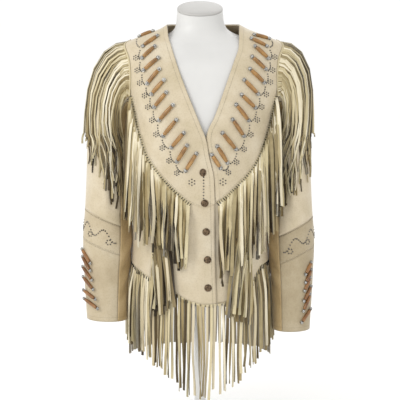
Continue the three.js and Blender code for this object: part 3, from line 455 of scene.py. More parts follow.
def hornMaterial(name, tones):
    # polished horn: long fibres in lighter and darker brown under a buffed coat
    material, tree, place = startMaterial(name)
    spread = addNode(tree, "ShaderNodeCombineXYZ", {
        "X": stored(tree, "grainAlong"), "Y": stored(tree, "grainAround")})
    fibre = noise(tree, spread.outputs[0], 1, 5, {"Roughness": 0.65})
    mottle = noise(tree, place, 60, 2)
    mixed = blend(tree, "MIX", 0.35, fibre, mottle)
    colour = ramp(tree, mixed, [(0.3, tones[0]), (0.44, tones[1]), (0.56, tones[2]), (0.7, tones[3])])
    finishMaterial(tree, {
        "Base Color": colour, "Roughness": 0.34, "Normal": bump(tree, fibre, 0.25, 0.0003),
        "Coat Weight": 0.3,
        "Coat Roughness": 0.15, "IOR": 1.54})
    return material


def metalMaterial(name, dark, light, roughness, scale):
    # plated metal: bright where it is rubbed, darker in its hollows
    material, tree, place = startMaterial(name)
    wear = noise(tree, place, scale, 4)
    finishMaterial(tree, {
        "Base Color": ramp(tree, wear, [(0.35, dark), (0.62, light)]), "Metallic": 1.0,
        "Roughness": ranged(tree, wear, roughness - 0.08, roughness + 0.14),
        "Normal": bump(tree, wear, 0.15, 0.0002)})
    return material


def plasticMaterial(name, dark, light, roughness):
    # moulded fibreglass with a satin lacquer: nearly even, with faint clouding and orange peel
    material, tree, place = startMaterial(name)
    colour = ramp(tree, noise(tree, place, 9, 3), [(0.35, dark), (0.65, light)])
    peel = noise(tree, place, 240, 2)
    finishMaterial(tree, {
        "Base Color": colour, "Roughness": roughness, "Normal": bump(tree, peel, 0.12, 0.0002), "IOR": 1.5})
    return material


def threadMaterial(name, code):
    # twisted polyester thread, drawn thick enough to show
    material, tree, place = startMaterial(name)
    colour = ramp(tree, noise(tree, place, 700, 2), [(0.3, "5d5340"), (0.7, code)])
    finishMaterial(tree, {"Base Color": colour, "Roughness": 0.75, "Sheen Weight": 0.2, "IOR": 1.5})
    return material


creamLeather = leatherMaterial("creamDeerskinGrain", [(0.3, "beb092"), (0.5, "c8ba9f"), (0.7, "d1c5ad")])
sleeveLeather = leatherMaterial("creamDeerskinSleeve", [(0.3, "af9f82"), (0.5, "bbac8f"), (0.7, "c5b89e")])
# painted shade: a darker copy of the sleeve leather, standing in for the shade on the left sleeve
shadedLeftSleeveLeather = leatherMaterial("creamDeerskinLeftSleevePaintedShade", [
    (0.3, "9d8e72"), (0.5, "a8997c"), (0.7, "b3a58a")])
# painted shade: the under sleeve's leather is drawn darker and more golden than the top sleeve's, for the
# shade where it faces the body
shadedUnderLeather = leatherMaterial("deerskinUnderSleevePaintedShade", [
    (0.3, "9c845a"), (0.5, "ad956b"), (0.7, "bda67e")])
fleshSuede = suedeMaterial("deerskinFleshSide", "8a7859", "b6a27d")
strandGrain = strandMaterial("fringeStripGrain", [
    (0.06, "8b7c58"), (0.28, "b3a47c"), (0.55, "cfc29d"), (0.85, "e3d9bf")], 0.66)
# the flesh side of the fringe in grey and khaki; its darkest stops, below the hide's own colour, are painted
# shade along the strands
strandFlesh = strandMaterial("fringeStripFleshAndShade", [
    (0.06, "544e45"), (0.3, "8c8679"), (0.55, "a59a76"), (0.78, "b6ab88"), (0.95, "cdc5ae")], 0.92)
backStrandFlesh = strandMaterial("backFringeFlesh", [
    (0.1, "9a9181"), (0.5, "aea594"), (0.9, "beb5a5")], 0.94)
hairpipeHorn = hornMaterial("amberHornTube", ("573c1a", "8a622e", "a67b40", "c0985e"))
darkHorn = hornMaterial("smokedHornTube", ("482b12", "724920", "8f612e", "ad8148"))
nickelStud = metalMaterial("nickelPlatedBrass", "2e2c29", "d2d0ca", 0.3, 620)
blackenedStud = metalMaterial("blackenedNickelStud", "24221f", "8f8b84", 0.34, 420)
gunmetalStud = metalMaterial("gunmetalStud", "2b2a28", "8b857b", 0.36, 420)
agedBronze = metalMaterial("antiqueBronzeCap", "3b3128", "7d6a55", 0.4, 260)
seamThread = threadMaterial("creamThread", "d8ccae")
darkThread = threadMaterial("umberThread", "4a3f2f")
formLacquer = plasticMaterial("satinFibreglass", "cdccc9", "d6d5d2", 0.42)
formCapPlastic = plasticMaterial("neckCapPlastic", "aeaca8", "b8b6b2", 0.46)
polePaint = plasticMaterial("whiteEnamelTube", "efeeea", "f6f5f2", 0.4)
basePaint = plasticMaterial("powderCoatedSteel", "b9b8b5", "c4c3c0", 0.5)
print("materials made:", len(bpy.data.materials))


def standsFor(item, slot, *nodes):
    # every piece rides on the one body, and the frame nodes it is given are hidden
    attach(item, "root")
    if nodes:
        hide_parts(*nodes)
    return item


# panel outlines, seen from the front, as x and z
outlines = dict(
    rightFree=[
        (36, 300), (33, 404), (31.5, 500), (29, 568), (19, 617), (13, 651), (3, 677), (-23, 740), (-45, 797),
        (-61, 844), (-67, 863), (-68.5, 877), (-69.5, 886),
    ],
    leftFree=[
        (-10, 302), (-10, 560), (-7, 600), (2, 630), (11.5, 651), (15, 666), (30, 698), (51, 755), (70, 808),
        (82, 844), (83, 871), (83, 886),
    ],
    rightHem=[(-104, 350), (-78, 337), (-53, 323), (-21, 306), (11, 298), (36, 300)],
    leftHem=[(-10, 302), (11, 298), (36, 300), (47, 301), (75, 311), (96, 322), (110, 336)],
    rightSeam=[
        (-104, 350), (-101, 400), (-99, 460), (-99, 520), (-104, 590), (-117, 645), (-136, 685), (-148, 705),
        (-150, 716),
    ],
    leftSeam=[
        (110, 336), (109, 400), (107, 460), (107, 520), (112, 590), (126, 645), (148, 685), (163, 705),
        (166, 716),
    ],
    rightBackSeam=[(-124, 345), (-124, 640), (-132, 690), (-144, 716)],
    leftBackSeam=[(124, 345), (124, 640), (140, 690), (159, 716)],
    rightYokeEdge=[
        (-141.5, 738), (-139, 724), (-134, 704), (-129, 678), (-121, 651), (-105, 609), (-78, 572),
        (-45, 538), (-18, 516), (8, 507), (27, 513),
    ],
    leftYokeEdge=[
        (156, 738), (153, 722), (149, 702), (143, 678), (131, 639), (109, 592), (73, 551), (41, 522),
        (35, 518),
    ],
    backYokeEdge=[
        (-131, 738), (-127, 715), (-118, 690), (-105, 665), (-76, 634), (-36, 608), (8, 597), (52, 608),
        (90, 634), (118, 665), (132, 690), (143, 715), (147, 738),
    ],
    leftYokeFree=[
        (33.4, 513), (31.8, 540), (29.5, 568), (19.5, 617), (13.8, 650), (15.6, 666), (30, 698), (51, 755),
        (70, 808), (82, 844), (83, 871), (83, 886),
    ],
    rightYokeFree=[
        (30.8, 514), (29, 568), (19, 617), (13, 651), (3, 677), (-23, 740), (-45, 797), (-61, 844),
        (-67, 863),
        (-68.5, 877), (-69.5, 886),
    ],
)
armhole = dict(y=4, z=768, deep=58, high=77, seamTurn=132.5, yokeMargin=7.3)


def frontPath(points, count, behind=False):
    line = smoothLine(points, count)
    return placeOnBody(line[:, 0], line[:, 1], behind)


def armholePath(side, fromTurn, toTurn, count, margin=0.0):
    # an ellipse in the side view; turn 0 is its top and positive turns are in front
    turn = np.radians(np.linspace(fromTurn, toTurn, count))
    y = armhole["y"] - (armhole["deep"] + margin) * np.sin(turn)
    z = armhole["z"] + (armhole["high"] + margin) * np.cos(turn)
    return besideBody(y, z, side)


def shoulderPath(turn, fromLevel, count):
    level = np.linspace(fromLevel, topLevel - 0.5, count)
    return np.stack([np.full(count, float(turn)), level], -1)


def evenPath(places, count):
    # equal steps over the surface itself
    points = bodySurface(places[:, 0], places[:, 1])
    reach = runOf(points)
    share = np.linspace(0, reach[-1], count)
    return np.stack([np.interp(share, reach, places[:, k]) for k in range(2)], 1)


def coons(bottom, top, left, right):
    # ruled between opposite edges both ways, less the bilinear part of the four corners
    u = np.linspace(0, 1, len(bottom))[None, :, None]
    v = np.linspace(0, 1, len(left))[:, None, None]
    ruled = (1 - v) * bottom[None] + v * top[None] + (1 - u) * left[:, None] + u * right[:, None]
    low = (1 - u) * left[0] + u * right[0]
    high = (1 - u) * left[-1] + u * right[-1]
    return ruled - (1 - v) * low - v * high


def edgeDistance(points, lines):
    # distance from every point to the nearest point of the given lines
    best = np.full(points.shape[:-1], 100.0)
    for line in lines:
        gaps = np.linalg.norm(points[..., None, :] - line, axis=-1)
        best = np.minimum(best, gaps.min(-1))
    return best


def cutOf(points):
    # width and length of the flat cut are the longest row and column, and its area is the cells' area
    across = np.linalg.norm(np.diff(points, axis=1), axis=-1).sum(1).max()
    up = np.linalg.norm(np.diff(points, axis=0), axis=-1).sum(0).max()
    first = points[1:, 1:] - points[:-1, :-1]
    second = points[1:, :-1] - points[:-1, 1:]
    area = np.linalg.norm(np.cross(first, second), axis=-1).sum() / 2
    return across / 1000, up / 1000, min(area / 1e6, across * up / 1e6)


sheets = {}


def addSheet(name, points, lines, material, wall, held, restsOn, flip=False):
    # one shell of leather; lines are its edges that are turned and sewn down
    rows, columns = points.shape[:2]
    faces = gridFaces(rows, columns)
    item = makeObject(f"cloth_{name}", points, [faces[:, ::-1] if flip else faces], [material, fleshSuede])
    setFloats(item, "edgeDistance", edgeDistance(points, lines) if lines else np.full((rows, columns), 100.0))
    thicken(item, wall)
    standsFor(item, "jacket_leather", name)
    sheets[name] = dict(item=item, cut=cutOf(points), held=held, restsOn=restsOn, pieces=[])


# body panels
panel = dict(columns=34, rows=140, sideColumns=28, sideRows=86, backColumns=72, sideHemHeight=374)


def outerEdge(seam, side, fromTurn, margin, behind, count):
    # up the seam, round the armhole to the shoulder line at y = 0 and along that line to the neck
    top = math.degrees(math.asin(armhole["y"] / (armhole["deep"] + margin)))
    if behind:
        rim = armholePath(side, -fromTurn, top - 0.1, 60, margin)
    else:
        rim = armholePath(side, fromTurn, top + 0.1, 60, margin)
    shoulder = 0.0 if side > 0 else (math.pi if behind else -math.pi)
    lower = frontPath(seam, 90, behind)
    line = shoulderPath(shoulder, rim[-1, 1], 24)
    return evenPath(np.concatenate([lower, rim, line[1:]]), count)


def frontPanel(name, hem, free, seam, side, lap):
    columns = panel["columns"]
    rows = panel["rows"]
    outer = outerEdge(seam, side, armhole["seamTurn"], 0.0, False, rows)
    inner = evenPath(frontPath(free, 160), rows)
    bottom = evenPath(frontPath(hem, 80), columns)
    left, right = (outer, inner) if side < 0 else (inner, outer)
    top = np.linspace(left[-1], right[-1], columns)
    places = coons(bottom, top, left, right)
    points = onBody(places, body["wall"], lap=lap)
    edge = points[:, -1] if side < 0 else points[:, 0]
    addSheet(name, points, [edge], creamLeather, body["wall"], "draped", ["form_torso"])


frontPanel("front_right", outlines["rightHem"], outlines["rightFree"], outlines["rightSeam"], -1, False)
frontPanel("front_left", outlines["leftHem"], outlines["leftFree"], outlines["leftSeam"], 1, True)


def sidePanel(name, side, seam, backSeam, hemBack, hemFront):
    columns = panel["sideColumns"]
    rows = panel["sideRows"]
    front = evenPath(frontPath(seam, 90), rows)
    back = evenPath(frontPath(backSeam, 90, True), rows)
    rim = armholePath(side, armhole["seamTurn"], 360 - armhole["seamTurn"], 80)
    middle = -math.pi if side < 0 else 0.0
    hem = np.concatenate([
        frontPath(hemFront, 20), [[middle, levelOf(panel["sideHemHeight"])]], frontPath(hemBack, 20, True)])
    if side < 0:
        # the right side's turns run on past pi
        front[:, 0] += 2 * math.pi
        rim[:, 0] = np.where(rim[:, 0] < 0, rim[:, 0] + 2 * math.pi, rim[:, 0])
        hem[:, 0] = np.where(hem[:, 0] < 0, hem[:, 0] + 2 * math.pi, hem[:, 0])
    left, right = (back, front) if side < 0 else (front, back)
    bottom = evenPath(hem[::-1] if side < 0 else hem, columns)
    top = evenPath(rim[::-1] if side < 0 else rim, columns)
    bottom[0], bottom[-1] = left[0], right[0]
    top[0], top[-1] = left[-1], right[-1]
    points = onBody(coons(bottom, top, left, right), body["wall"])
    addSheet(name, points, [], creamLeather, body["wall"], "draped", ["form_torso"])


sidePanel("side_right", -1, outlines["rightSeam"], outlines["rightBackSeam"],
          [(-149, 371), (-138, 360), (-124, 345)], [(-104, 350), (-112, 353), (-130, 363), (-146, 371)])
sidePanel("side_left", 1, outlines["leftSeam"], outlines["leftBackSeam"],
          [(149, 371), (138, 360), (124, 345)], [(110, 336), (118, 356), (130, 368), (146, 371)])


def backPanel(name):
    rows = panel["rows"]
    columns = panel["backColumns"]
    left = outerEdge(outlines["leftBackSeam"], 1, armhole["seamTurn"], 0.0, True, rows)
    right = outerEdge(outlines["rightBackSeam"], -1, armhole["seamTurn"], 0.0, True, rows)
    bottom = evenPath(frontPath([(124, 345), (0, 345), (-124, 345)], 60, True), columns)
    top = np.linspace(left[-1], right[-1], columns)
    points = onBody(coons(bottom, top, left, right), body["wall"])
    addSheet(name, points, [], creamLeather, body["wall"], "draped", ["form_torso"])


backPanel("back")


# yokes, laid over the panels
yoke = dict(columns=56, rows=130, backColumns=84, backRows=84, seamTurn=100)


def frontYoke(name, edge, free, side, lap):
    columns = yoke["columns"]
    rows = yoke["rows"]
    outer = outerEdge(edge[::-1], side, yoke["seamTurn"], armhole["yokeMargin"], False, rows)
    inner = evenPath(frontPath(free, 160), rows)
    left, right = (outer, inner) if side < 0 else (inner, outer)
    bottom = np.linspace(left[0], right[0], columns)
    top = np.linspace(left[-1], right[-1], columns)
    places = coons(bottom, top, left, right)
    points = onBody(places, body["yokeTop"], lap=lap)
    freeEdge = points[:, -1] if side < 0 else points[:, 0]
    below = "cloth_front_right" if side < 0 else "cloth_front_left"
    addSheet(name, points, [freeEdge], creamLeather, body["yokeWall"], "draped", [below])


frontYoke("yoke_right", outlines["rightYokeEdge"], outlines["rightYokeFree"], -1, False)
frontYoke("yoke_left", outlines["leftYokeEdge"], outlines["leftYokeFree"], 1, True)


def backYoke(name):
    rows = yoke["backRows"]
    columns = yoke["backColumns"]
    edge = outlines["backYokeEdge"]
    left = outerEdge([edge[-1], (148, 744)], 1, yoke["seamTurn"], armhole["yokeMargin"], True, rows)
    right = outerEdge([edge[0], (-132, 744)], -1, yoke["seamTurn"], armhole["yokeMargin"], True, rows)
    bottom = evenPath(frontPath(edge[::-1], 120, True), columns)
    top = np.linspace(left[-1], right[-1], columns)
    points = onBody(coons(bottom, top, left, right), body["yokeTop"])
    addSheet(name, points, [points[-1]], creamLeather, body["yokeWall"], "draped", ["cloth_back"])


backYoke("yoke_back")
print("body panels and yokes made")


# sleeves: a cap from the armhole to the upper arm, then a tube down to the cuff
sleeveRows = np.array([  # height, gap to the body, outer half width, depth, centre depth
    (655, 6, 246, 60, 4), (584, 3.4, 248, 57, 1), (496, 2.0, 252, 53, -5), (418, 1.1, 257, 50, -14),
    (328, 1.1, 254, 45, -26), (243, 3.0, 248, 39, -38), (200, 4, 246, 38, -42),
], float)[::-1]
gapAt, reachAt, deepAt, sleeveYAt = [monotone(sleeveRows[:, 0], sleeveRows[:, k]) for k in range(1, 5)]
upperArm = 655
sleeves = dict(
    right=dict(side=-1, upperSeam=468, lowerSeam=404, slope=0.42, cuff=249, cuffSlope=0.03, shift=0),
    left=dict(side=1, upperSeam=448, lowerSeam=386, slope=0.5, cuff=227, cuffSlope=0.02, shift=-6),
)
sleevePatches = dict(
    columns=56, underColumns=26, seamTurn=124, capRows=26, tubeRows=34, bandRows=14, lowerRows=36,
    turnGap=0.3,
    wayGap=0.15)
sleeveCreases = [  # turn in degrees and height of both ends, half width, rise
    (150, 560, 205, 500, 7, -2.2), (150, 530, 210, 470, 6, 1.8), (128, 470, 176, 520, 6, -2.0),
    (128, 440, 180, 490, 6, 1.9), (128, 405, 176, 452, 5, -2.2), (128, 382, 178, 430, 5, 2.0),
    (128, 350, 176, 398, 5, -2.2), (130, 322, 178, 372, 5, 1.9), (130, 290, 174, 342, 5, -1.8),
    (96, 560, 104, 490, 8, -2.4), (84, 560, 88, 484, 7, 2.0),
    (118, 500, 150, 478, 7, 1.2), (70, 600, 60, 480, 12, 0.9), (20, 590, 30, 470, 12, -0.8),
    (-40, 600, -46, 480, 12, 0.9), (-86, 560, -70, 440, 11, -1.0), (60, 380, 52, 280, 9, 0.8),
    (5, 380, 12, 270, 10, -0.7), (-60, 370, -50, 270, 10, 0.8), (140, 380, 190, 330, 7, -1.3),
    (150, 350, 200, 300, 7, 1.2), (95, 640, 100, 520, 9, -1.1), (-95, 640, -100, 500, 9, 1.1),
]


def tubePoint(sleeve, turn, z):
    # an ellipse between the gap beside the body and the outer silhouette
    level = levelOf(z)
    inner = sleeve["side"] * middleAt(level) + halfAt(level) + gapAt(z)
    outer = reachAt(z) + sleeve["shift"]
    x = (inner + outer) / 2 + (outer - inner) / 2 * np.cos(turn)
    return np.stack([sleeve["side"] * x, sleeveYAt(z) - deepAt(z) * np.sin(turn), z + 0 * turn], -1)


def capPoint(sleeve, turn, t):
    # a cubic from the armhole rim to the upper arm that leaves outwards and arrives straight down
    side = sleeve["side"]
    y = armhole["y"] - (armhole["deep"] - 0.6) * np.sin(turn)
    z = armhole["z"] + (armhole["high"] - 0.6) * np.cos(turn)
    level = levelOf(z)
    depth = np.where(y < 0, frontAt(level), backAt(level))
    share = (1 - np.minimum(np.abs(y / depth), 0.999) ** body["power"]) ** (1 / body["power"])
    start = np.stack([middleAt(level) + side * (halfAt(level) * share + 0.9), y, z], -1)
    end = tubePoint(sleeve, turn, upperArm + 0 * turn)
    high = 0.5 + 0.5 * np.cos(turn)
    leave = np.stack([side * (34 + 72 * high), 0 * high, 8 - 14 * high], -1)
    arrive = np.stack([0 * high, 0 * high, -(40 + 170 * high)], -1)
    t = np.asarray(t)[..., None]
    s = 1 - t
    return start * (1 + 2 * t) * s * s + leave * t * s * s + end * t * t * (3 - 2 * t) - arrive * t * t * s


def sleeveSurface(sleeve, turn, way):
    cap = capPoint(sleeve, turn, np.clip(way, 0, 1))
    tube = tubePoint(sleeve, turn, upperArm - (np.maximum(way, 1) - 1))
    return np.where((way <= 1)[..., None], cap, tube)


def sleevePoint(sleeve, turn, way, out, creased=True):
    # way is 0 at the armhole, 1 at the upper arm and then counts millimetres down the tube
    turn = np.asarray(turn, float)
    way = np.asarray(way, float)
    step = np.where(way < 1.02, 0.02, 1.0)
    at = np.maximum(way, step)
    normal = facing(lambda u, v: sleeveSurface(sleeve, u, v), turn, at, 0.03, step) * sleeve["side"]
    flat = sleeveSurface(sleeve, turn, way)
    rise = out + 0 * way
    if creased:
        degrees = np.degrees(turn)
        table = [(a * 0.9, z0, b * 0.9, z1, width, up) for a, z0, b, z1, width, up in sleeveCreases]
        rise = rise + creaseRise(table, degrees * 0.9, flat[..., 2])
        # the cap is eased into the armhole with small puckers: an uneven sine round it
        pucker = np.sin(turn * 23 + 1.3 * np.sin(turn * 5))
        rise = rise + 0.9 * pucker * np.exp(-(np.minimum(way, 1.5) / 0.3) ** 2) * ease(way / 0.06)
    return flat + normal * rise[..., None]


def slantWay(sleeve, turn, z, slope):
    # the way at which a slanting seam crosses each turn
    here = tubePoint(sleeve, turn, z + 0 * turn)[..., 0]
    ends = tubePoint(sleeve, np.array([0, math.pi]), np.array([z, z], float))[:, 0]
    return 1 + upperArm - z - slope * sleeve["side"] * (here - ends.mean())


def sleeveSheet(name, sleeve, turns, fromWay, toWay, rows, material, cuffed=False):
    # without a start it begins at the armhole, with the cap's own rows first
    share = np.linspace(0, 1, rows)[:, None]
    if fromWay is None:
        capShare = np.linspace(0, 1, sleevePatches["capRows"])[:, None] + 0 * turns[None]
        way = np.concatenate([capShare, 1 + (toWay[None] - 1) * share[1:]])
    else:
        way = fromWay[None] * (1 - share) + toWay[None] * share
    turn = np.broadcast_to(turns, way.shape)
    points = sleevePoint(sleeve, turn, way, 0.0)
    edges = [points[-1]] if cuffed else []
    right = sleeve["side"] < 0
    hungFrom = "cloth_yoke_right" if right else "cloth_yoke_left"
    addSheet(name, points, edges, material, body["wall"], "hung", [hungFrom], flip=right)


def makeSleeve(label, sleeve, hide, p):
    # the top sleeve in three pieces, cut at the slanting band, and the under sleeve in one
    seam = p["seamTurn"] - p["turnGap"]
    front = np.radians(np.linspace(-seam, seam, p["columns"]))
    low = p["seamTurn"] + p["turnGap"]
    under = np.radians(np.linspace(low, 360 - low, p["underColumns"]))
    gap = p["wayGap"]
    upper = slantWay(sleeve, front, sleeve["upperSeam"], sleeve["slope"])
    lower = slantWay(sleeve, front, sleeve["lowerSeam"], sleeve["slope"] * 0.9)
    cuff = slantWay(sleeve, front, sleeve["cuff"], sleeve["cuffSlope"])
    underCuff = slantWay(sleeve, under, sleeve["cuff"], sleeve["cuffSlope"])
    name = f"sleeve_{label}"
    sleeveSheet(f"{name}_upper", sleeve, front, None, upper - gap, p["tubeRows"], creamLeather)
    sleeveSheet(f"{name}_band", sleeve, front, upper + gap, lower - gap, p["bandRows"], hide)
    sleeveSheet(f"{name}_lower", sleeve, front, lower + gap, cuff, p["lowerRows"], hide, True)
    # the under sleeve takes the leather drawn darker as painted shade
    sleeveSheet(f"{name}_under", sleeve, under, None, underCuff, p["lowerRows"] * 2, shadedUnderLeather, True)


makeSleeve("right", sleeves["right"], sleeveLeather, sleevePatches)
# the left sleeve takes the darker painted-shade copy of the sleeve leather
makeSleeve("left", sleeves["left"], shadedLeftSleeveLeather, sleevePatches)
print("sleeves made")


# dress form
form = dict(
    bottom=330,
    gaps=[(300, 12), (560, 9), (700, 4.4), (760, 3.4), (800, 0.9), (880, 0.9)],  # height, gap to the cloth
    neck=[  # height, centre, half width, depth in front, depth behind
        (851, 8, 152, 61, 77), (856, 8, 128, 57.5, 72), (861, 7, 100, 54.5, 67), (867, 4, 77, 52, 62),
        (875, 2, 62, 49.5, 57), (885, 1, 54, 47.5, 54), (900, 0, 50.5, 47, 52), (920, 0, 49, 47, 51),
    ],
    cap=[  # share of the neck's top, height above it
        (0.96, 0.3), (1.0, 0.4), (1.008, 1.2), (1.008, 2.6), (0.995, 3.6), (0.96, 4.6), (0.88, 5.5),
        (0.72, 6.3),
        (0.5, 6.8), (0.25, 7.0), (0.08, 7.05),
    ],
    pole=[(11.6, 12.3), (12.5, 12.9), (12.5, 321.2), (11.9, 321.7)],
    base=[
        (60, 0), (138.6, 0), (139.6, 0.5), (140, 1.4), (140, 8.6), (139.4, 10.2), (138, 11.4), (136, 12),
        (40, 12),
        (20, 12),
    ],
    neckPower=2.1,
    tilt=0.296,
    tiltFrom=885,
    columns=96,
)
gapTable = np.array(form["gaps"], float)
formGap = monotone(gapTable[:, 0], gapTable[:, 1])
formTurns = 2 * math.pi * (np.arange(form["columns"]) + 0.5) / form["columns"]


def formRing(z):
    place = np.stack([formTurns, np.full(len(formTurns), levelOf(z))], -1)
    return onBody(place, -float(formGap(z)), creased=False)


def neckRing(row):
    z, middle, half, front, back = row
    sine = rounded(np.sin(formTurns), form["neckPower"])
    y = np.where(sine < 0, front, back) * sine
    share = max((z - form["tiltFrom"]) / (form["neck"][-1][0] - form["tiltFrom"]), 0)
    x = middle + half * rounded(np.cos(formTurns), form["neckPower"])
    return np.stack([x, y, z + share * form["tilt"] * y], -1)


def throughRings(rings, steps):
    # Catmull-Rom through neighbouring rings, so the neck flows out of the shoulders
    rings = np.asarray(rings)
    padded = np.concatenate([2 * rings[:1] - rings[1:2], rings, 2 * rings[-1:] - rings[-2:-1]])
    t = (np.arange(steps) / steps)[:, None, None, None]
    a, b, c, d = padded[:-3], padded[1:-2], padded[2:-1], padded[3:]
    square = 2 * a - 5 * b + 4 * c - d
    cube = 3 * b - a - 3 * c + d
    curve = 0.5 * (2 * b + (c - a) * t + square * t ** 2 + cube * t ** 3)
    return np.concatenate([curve.transpose(1, 0, 2, 3).reshape(-1, *rings.shape[1:]), rings[-1:]])


def closedStack(rings):
    # rings one above another with a middle point at each end
    rows, columns = rings.shape[:2]
    here = np.arange(columns)
    after = (here + 1) % columns
    vertices = np.concatenate([rings.reshape(-1, 3), [rings[0].mean(0), rings[-1].mean(0)]])
    low = np.stack([after, here, np.full(columns, rows * columns)], -1)
    last = (rows - 1) * columns
    high = np.stack([here + last, after + last, np.full(columns, rows * columns + 1)], -1)
    return vertices, [gridFaces(rows, columns, wrap=True), low, high]


lowest = formRing(form["bottom"])
# the underside is drawn in to a rounded edge 8 mm below the lowest ring
under = lowest * [0.94, 0.94, 0] + [0, 0, form["bottom"] - 8]
underRings = [under * [k, k, 1] for k in (0.3, 0.7, 0.97)]
underRings += [under, (under + lowest) / 2 * [1.012, 1.012, 1]]
bodyHeights = np.concatenate([np.linspace(form["bottom"], 832, 64), [838, 842, 845]])
torso = np.array([formRing(z) for z in bodyHeights])
collarRings = throughRings([torso[-1], *[neckRing(row) for row in form["neck"]]], 5)
rings = np.concatenate([np.array(underRings), torso, collarRings[1:]])
formPiece = makeObject("form_torso", *closedStack(rings), [formLacquer])
standsFor(formPiece, "form_plastic", "form_body")
topRing = collarRings[-1]
topMiddle = topRing.mean(0)
capRings = np.array([
    topMiddle + (topRing - topMiddle) * grow + [0, -form["tilt"] * up, up] for grow, up in form["cap"]])
capPiece = makeObject("form_neck_cap", *closedStack(capRings), [formCapPlastic])
standsFor(capPiece, "form_cap_plastic", "form_cap")
tube = makeObject("stand_tube", *lathe(form["pole"], 40), [polePaint])
standsFor(tube, "stand_paint", "stand_pole")
foot = makeObject("stand_foot", *lathe(form["base"], 96), [basePaint])
standsFor(foot, "stand_paint", "stand_base")
print("dress form and stand made")


# fringe: strands are flat strips that hang from a sewn backing
fringe = dict(thick=1.5, sections=12, stripWide=6.0, stripLow=2.2, stripHigh=3.5, puffAt=0.36, puffWide=0.34,
              wisps=0.05, wispLift=8)
cell = 4.0
fieldOrigin = np.array([-300.0, 40.0])
fieldShape = (151, 226)


def depthField(behind):
    # the outermost depth of body and sleeves on a grid of x and z
    field = np.zeros(fieldShape)
    turn, level = np.meshgrid(np.linspace(0, 2 * math.pi, 900), np.linspace(0, topLevel, 700))
    clouds = [bodySurface(turn, level) + bodyNormal(turn, level) * body["yokeTop"]]
    for sleeve in sleeves.values():
        around, way = np.meshgrid(np.linspace(0, 2 * math.pi, 400), np.concatenate([
            np.linspace(0, 1, 120), np.linspace(2, 430, 330)]))
        clouds.append(sleevePoint(sleeve, around, way, 0.0))
    sign = 1 if behind else -1
    for cloud in clouds:
        spots = np.rint((cloud[..., [0, 2]] - fieldOrigin) / cell).astype(int).reshape(-1, 2)
        keep = (spots >= 0).all(1) & (spots < fieldShape).all(1)
        np.maximum.at(field, tuple(spots[keep].T), sign * cloud[..., 1].reshape(-1)[keep])
    grown = field.copy()
    for dx, dz in ((1, 0), (-1, 0), (0, 1), (0, -1)):
        grown = np.maximum(grown, np.roll(field, (dx, dz), (0, 1)))
    return grown


fields = {False: depthField(False), True: depthField(True)}


def outermost(x, z, behind):
    spots = (np.stack([x, z], -1) - fieldOrigin) / cell
    low = np.clip(np.floor(spots).astype(int), 0, np.array(fieldShape) - 2)
    t = np.clip(spots - low, 0, 1)
    field = fields[behind]
    a = field[low[..., 0], low[..., 1]] * (1 - t[..., 0]) + field[low[..., 0] + 1, low[..., 1]] * t[..., 0]
    b = field[low[..., 0], low[..., 1] + 1] * (1 - t[..., 0]) + field[low[..., 0] + 1,
        low[..., 1] + 1] * t[..., 0]
    return a * (1 - t[..., 1]) + b * t[..., 1]


def tableAt(table, share):
    table = np.asarray(table, float)
    return [np.interp(share, table[:, 0], table[:, k]) for k in range(1, table.shape[1])]


def uneven(count, size):
    return rng.uniform(-size, size, count)


def waver(count, size, rate, reach):
    # every strand swings by its own amount and from its own start
    amount = uneven(count, size)[:, None]
    return amount * np.sin(reach * rate + rng.uniform(0, 6, count)[:, None])


def between(ends, share):
    return ends[0] + (ends[1] - ends[0]) * share


def squareTo(middles, outwardWay):
    # across each strand and away from what it lies on, both square to its path
    flow = unit(np.gradient(middles, axis=1))
    across = unit(np.cross(flow, outwardWay))
    return across, unit(np.cross(across, flow))


def strandShape(middles, across, outwardWay, width, twist):
    # a flat box section carried along every path and turned by its twist
    angle = twist[..., None]
    side = across * np.cos(angle) + outwardWay * np.sin(angle)
    face = outwardWay * np.cos(angle) - across * np.sin(angle)
    w = side * np.asarray(width)[..., None] / 2
    t = face * fringe["thick"] / 2
    corners = np.stack([middles - w + t, middles - w - t, middles + w - t, middles + w + t], 2)
    count, sections = middles.shape[:2]
    index = np.arange(count * sections * 4).reshape(count, sections, 4)
    groups = []
    for k in range(4):
        m = (k + 1) % 4
        quad = [index[:, :-1, k], index[:, :-1, m], index[:, 1:, m], index[:, 1:, k]]
        groups.append(np.stack(quad, -1).reshape(-1, 4))
    groups.append(index[:, 0, ::-1])
    groups.append(index[:, -1])
    return corners.reshape(-1, 3), groups


def stripShape(inner, outer, low, high):
    # the backing: a thin flat band between two rows of points given at its lower and upper face
    corners = np.stack([inner(high), outer(high), outer(low), inner(low)], 1)
    index = np.arange(len(corners) * 4).reshape(-1, 4)
    groups = []
    for k in range(4):
        m = (k + 1) % 4
        groups.append(np.stack([index[:-1, k], index[:-1, m], index[1:, m], index[1:, k]], -1))
    groups.append(index[:1, ::-1])
    groups.append(index[-1:])
    return corners.reshape(-1, 3), groups


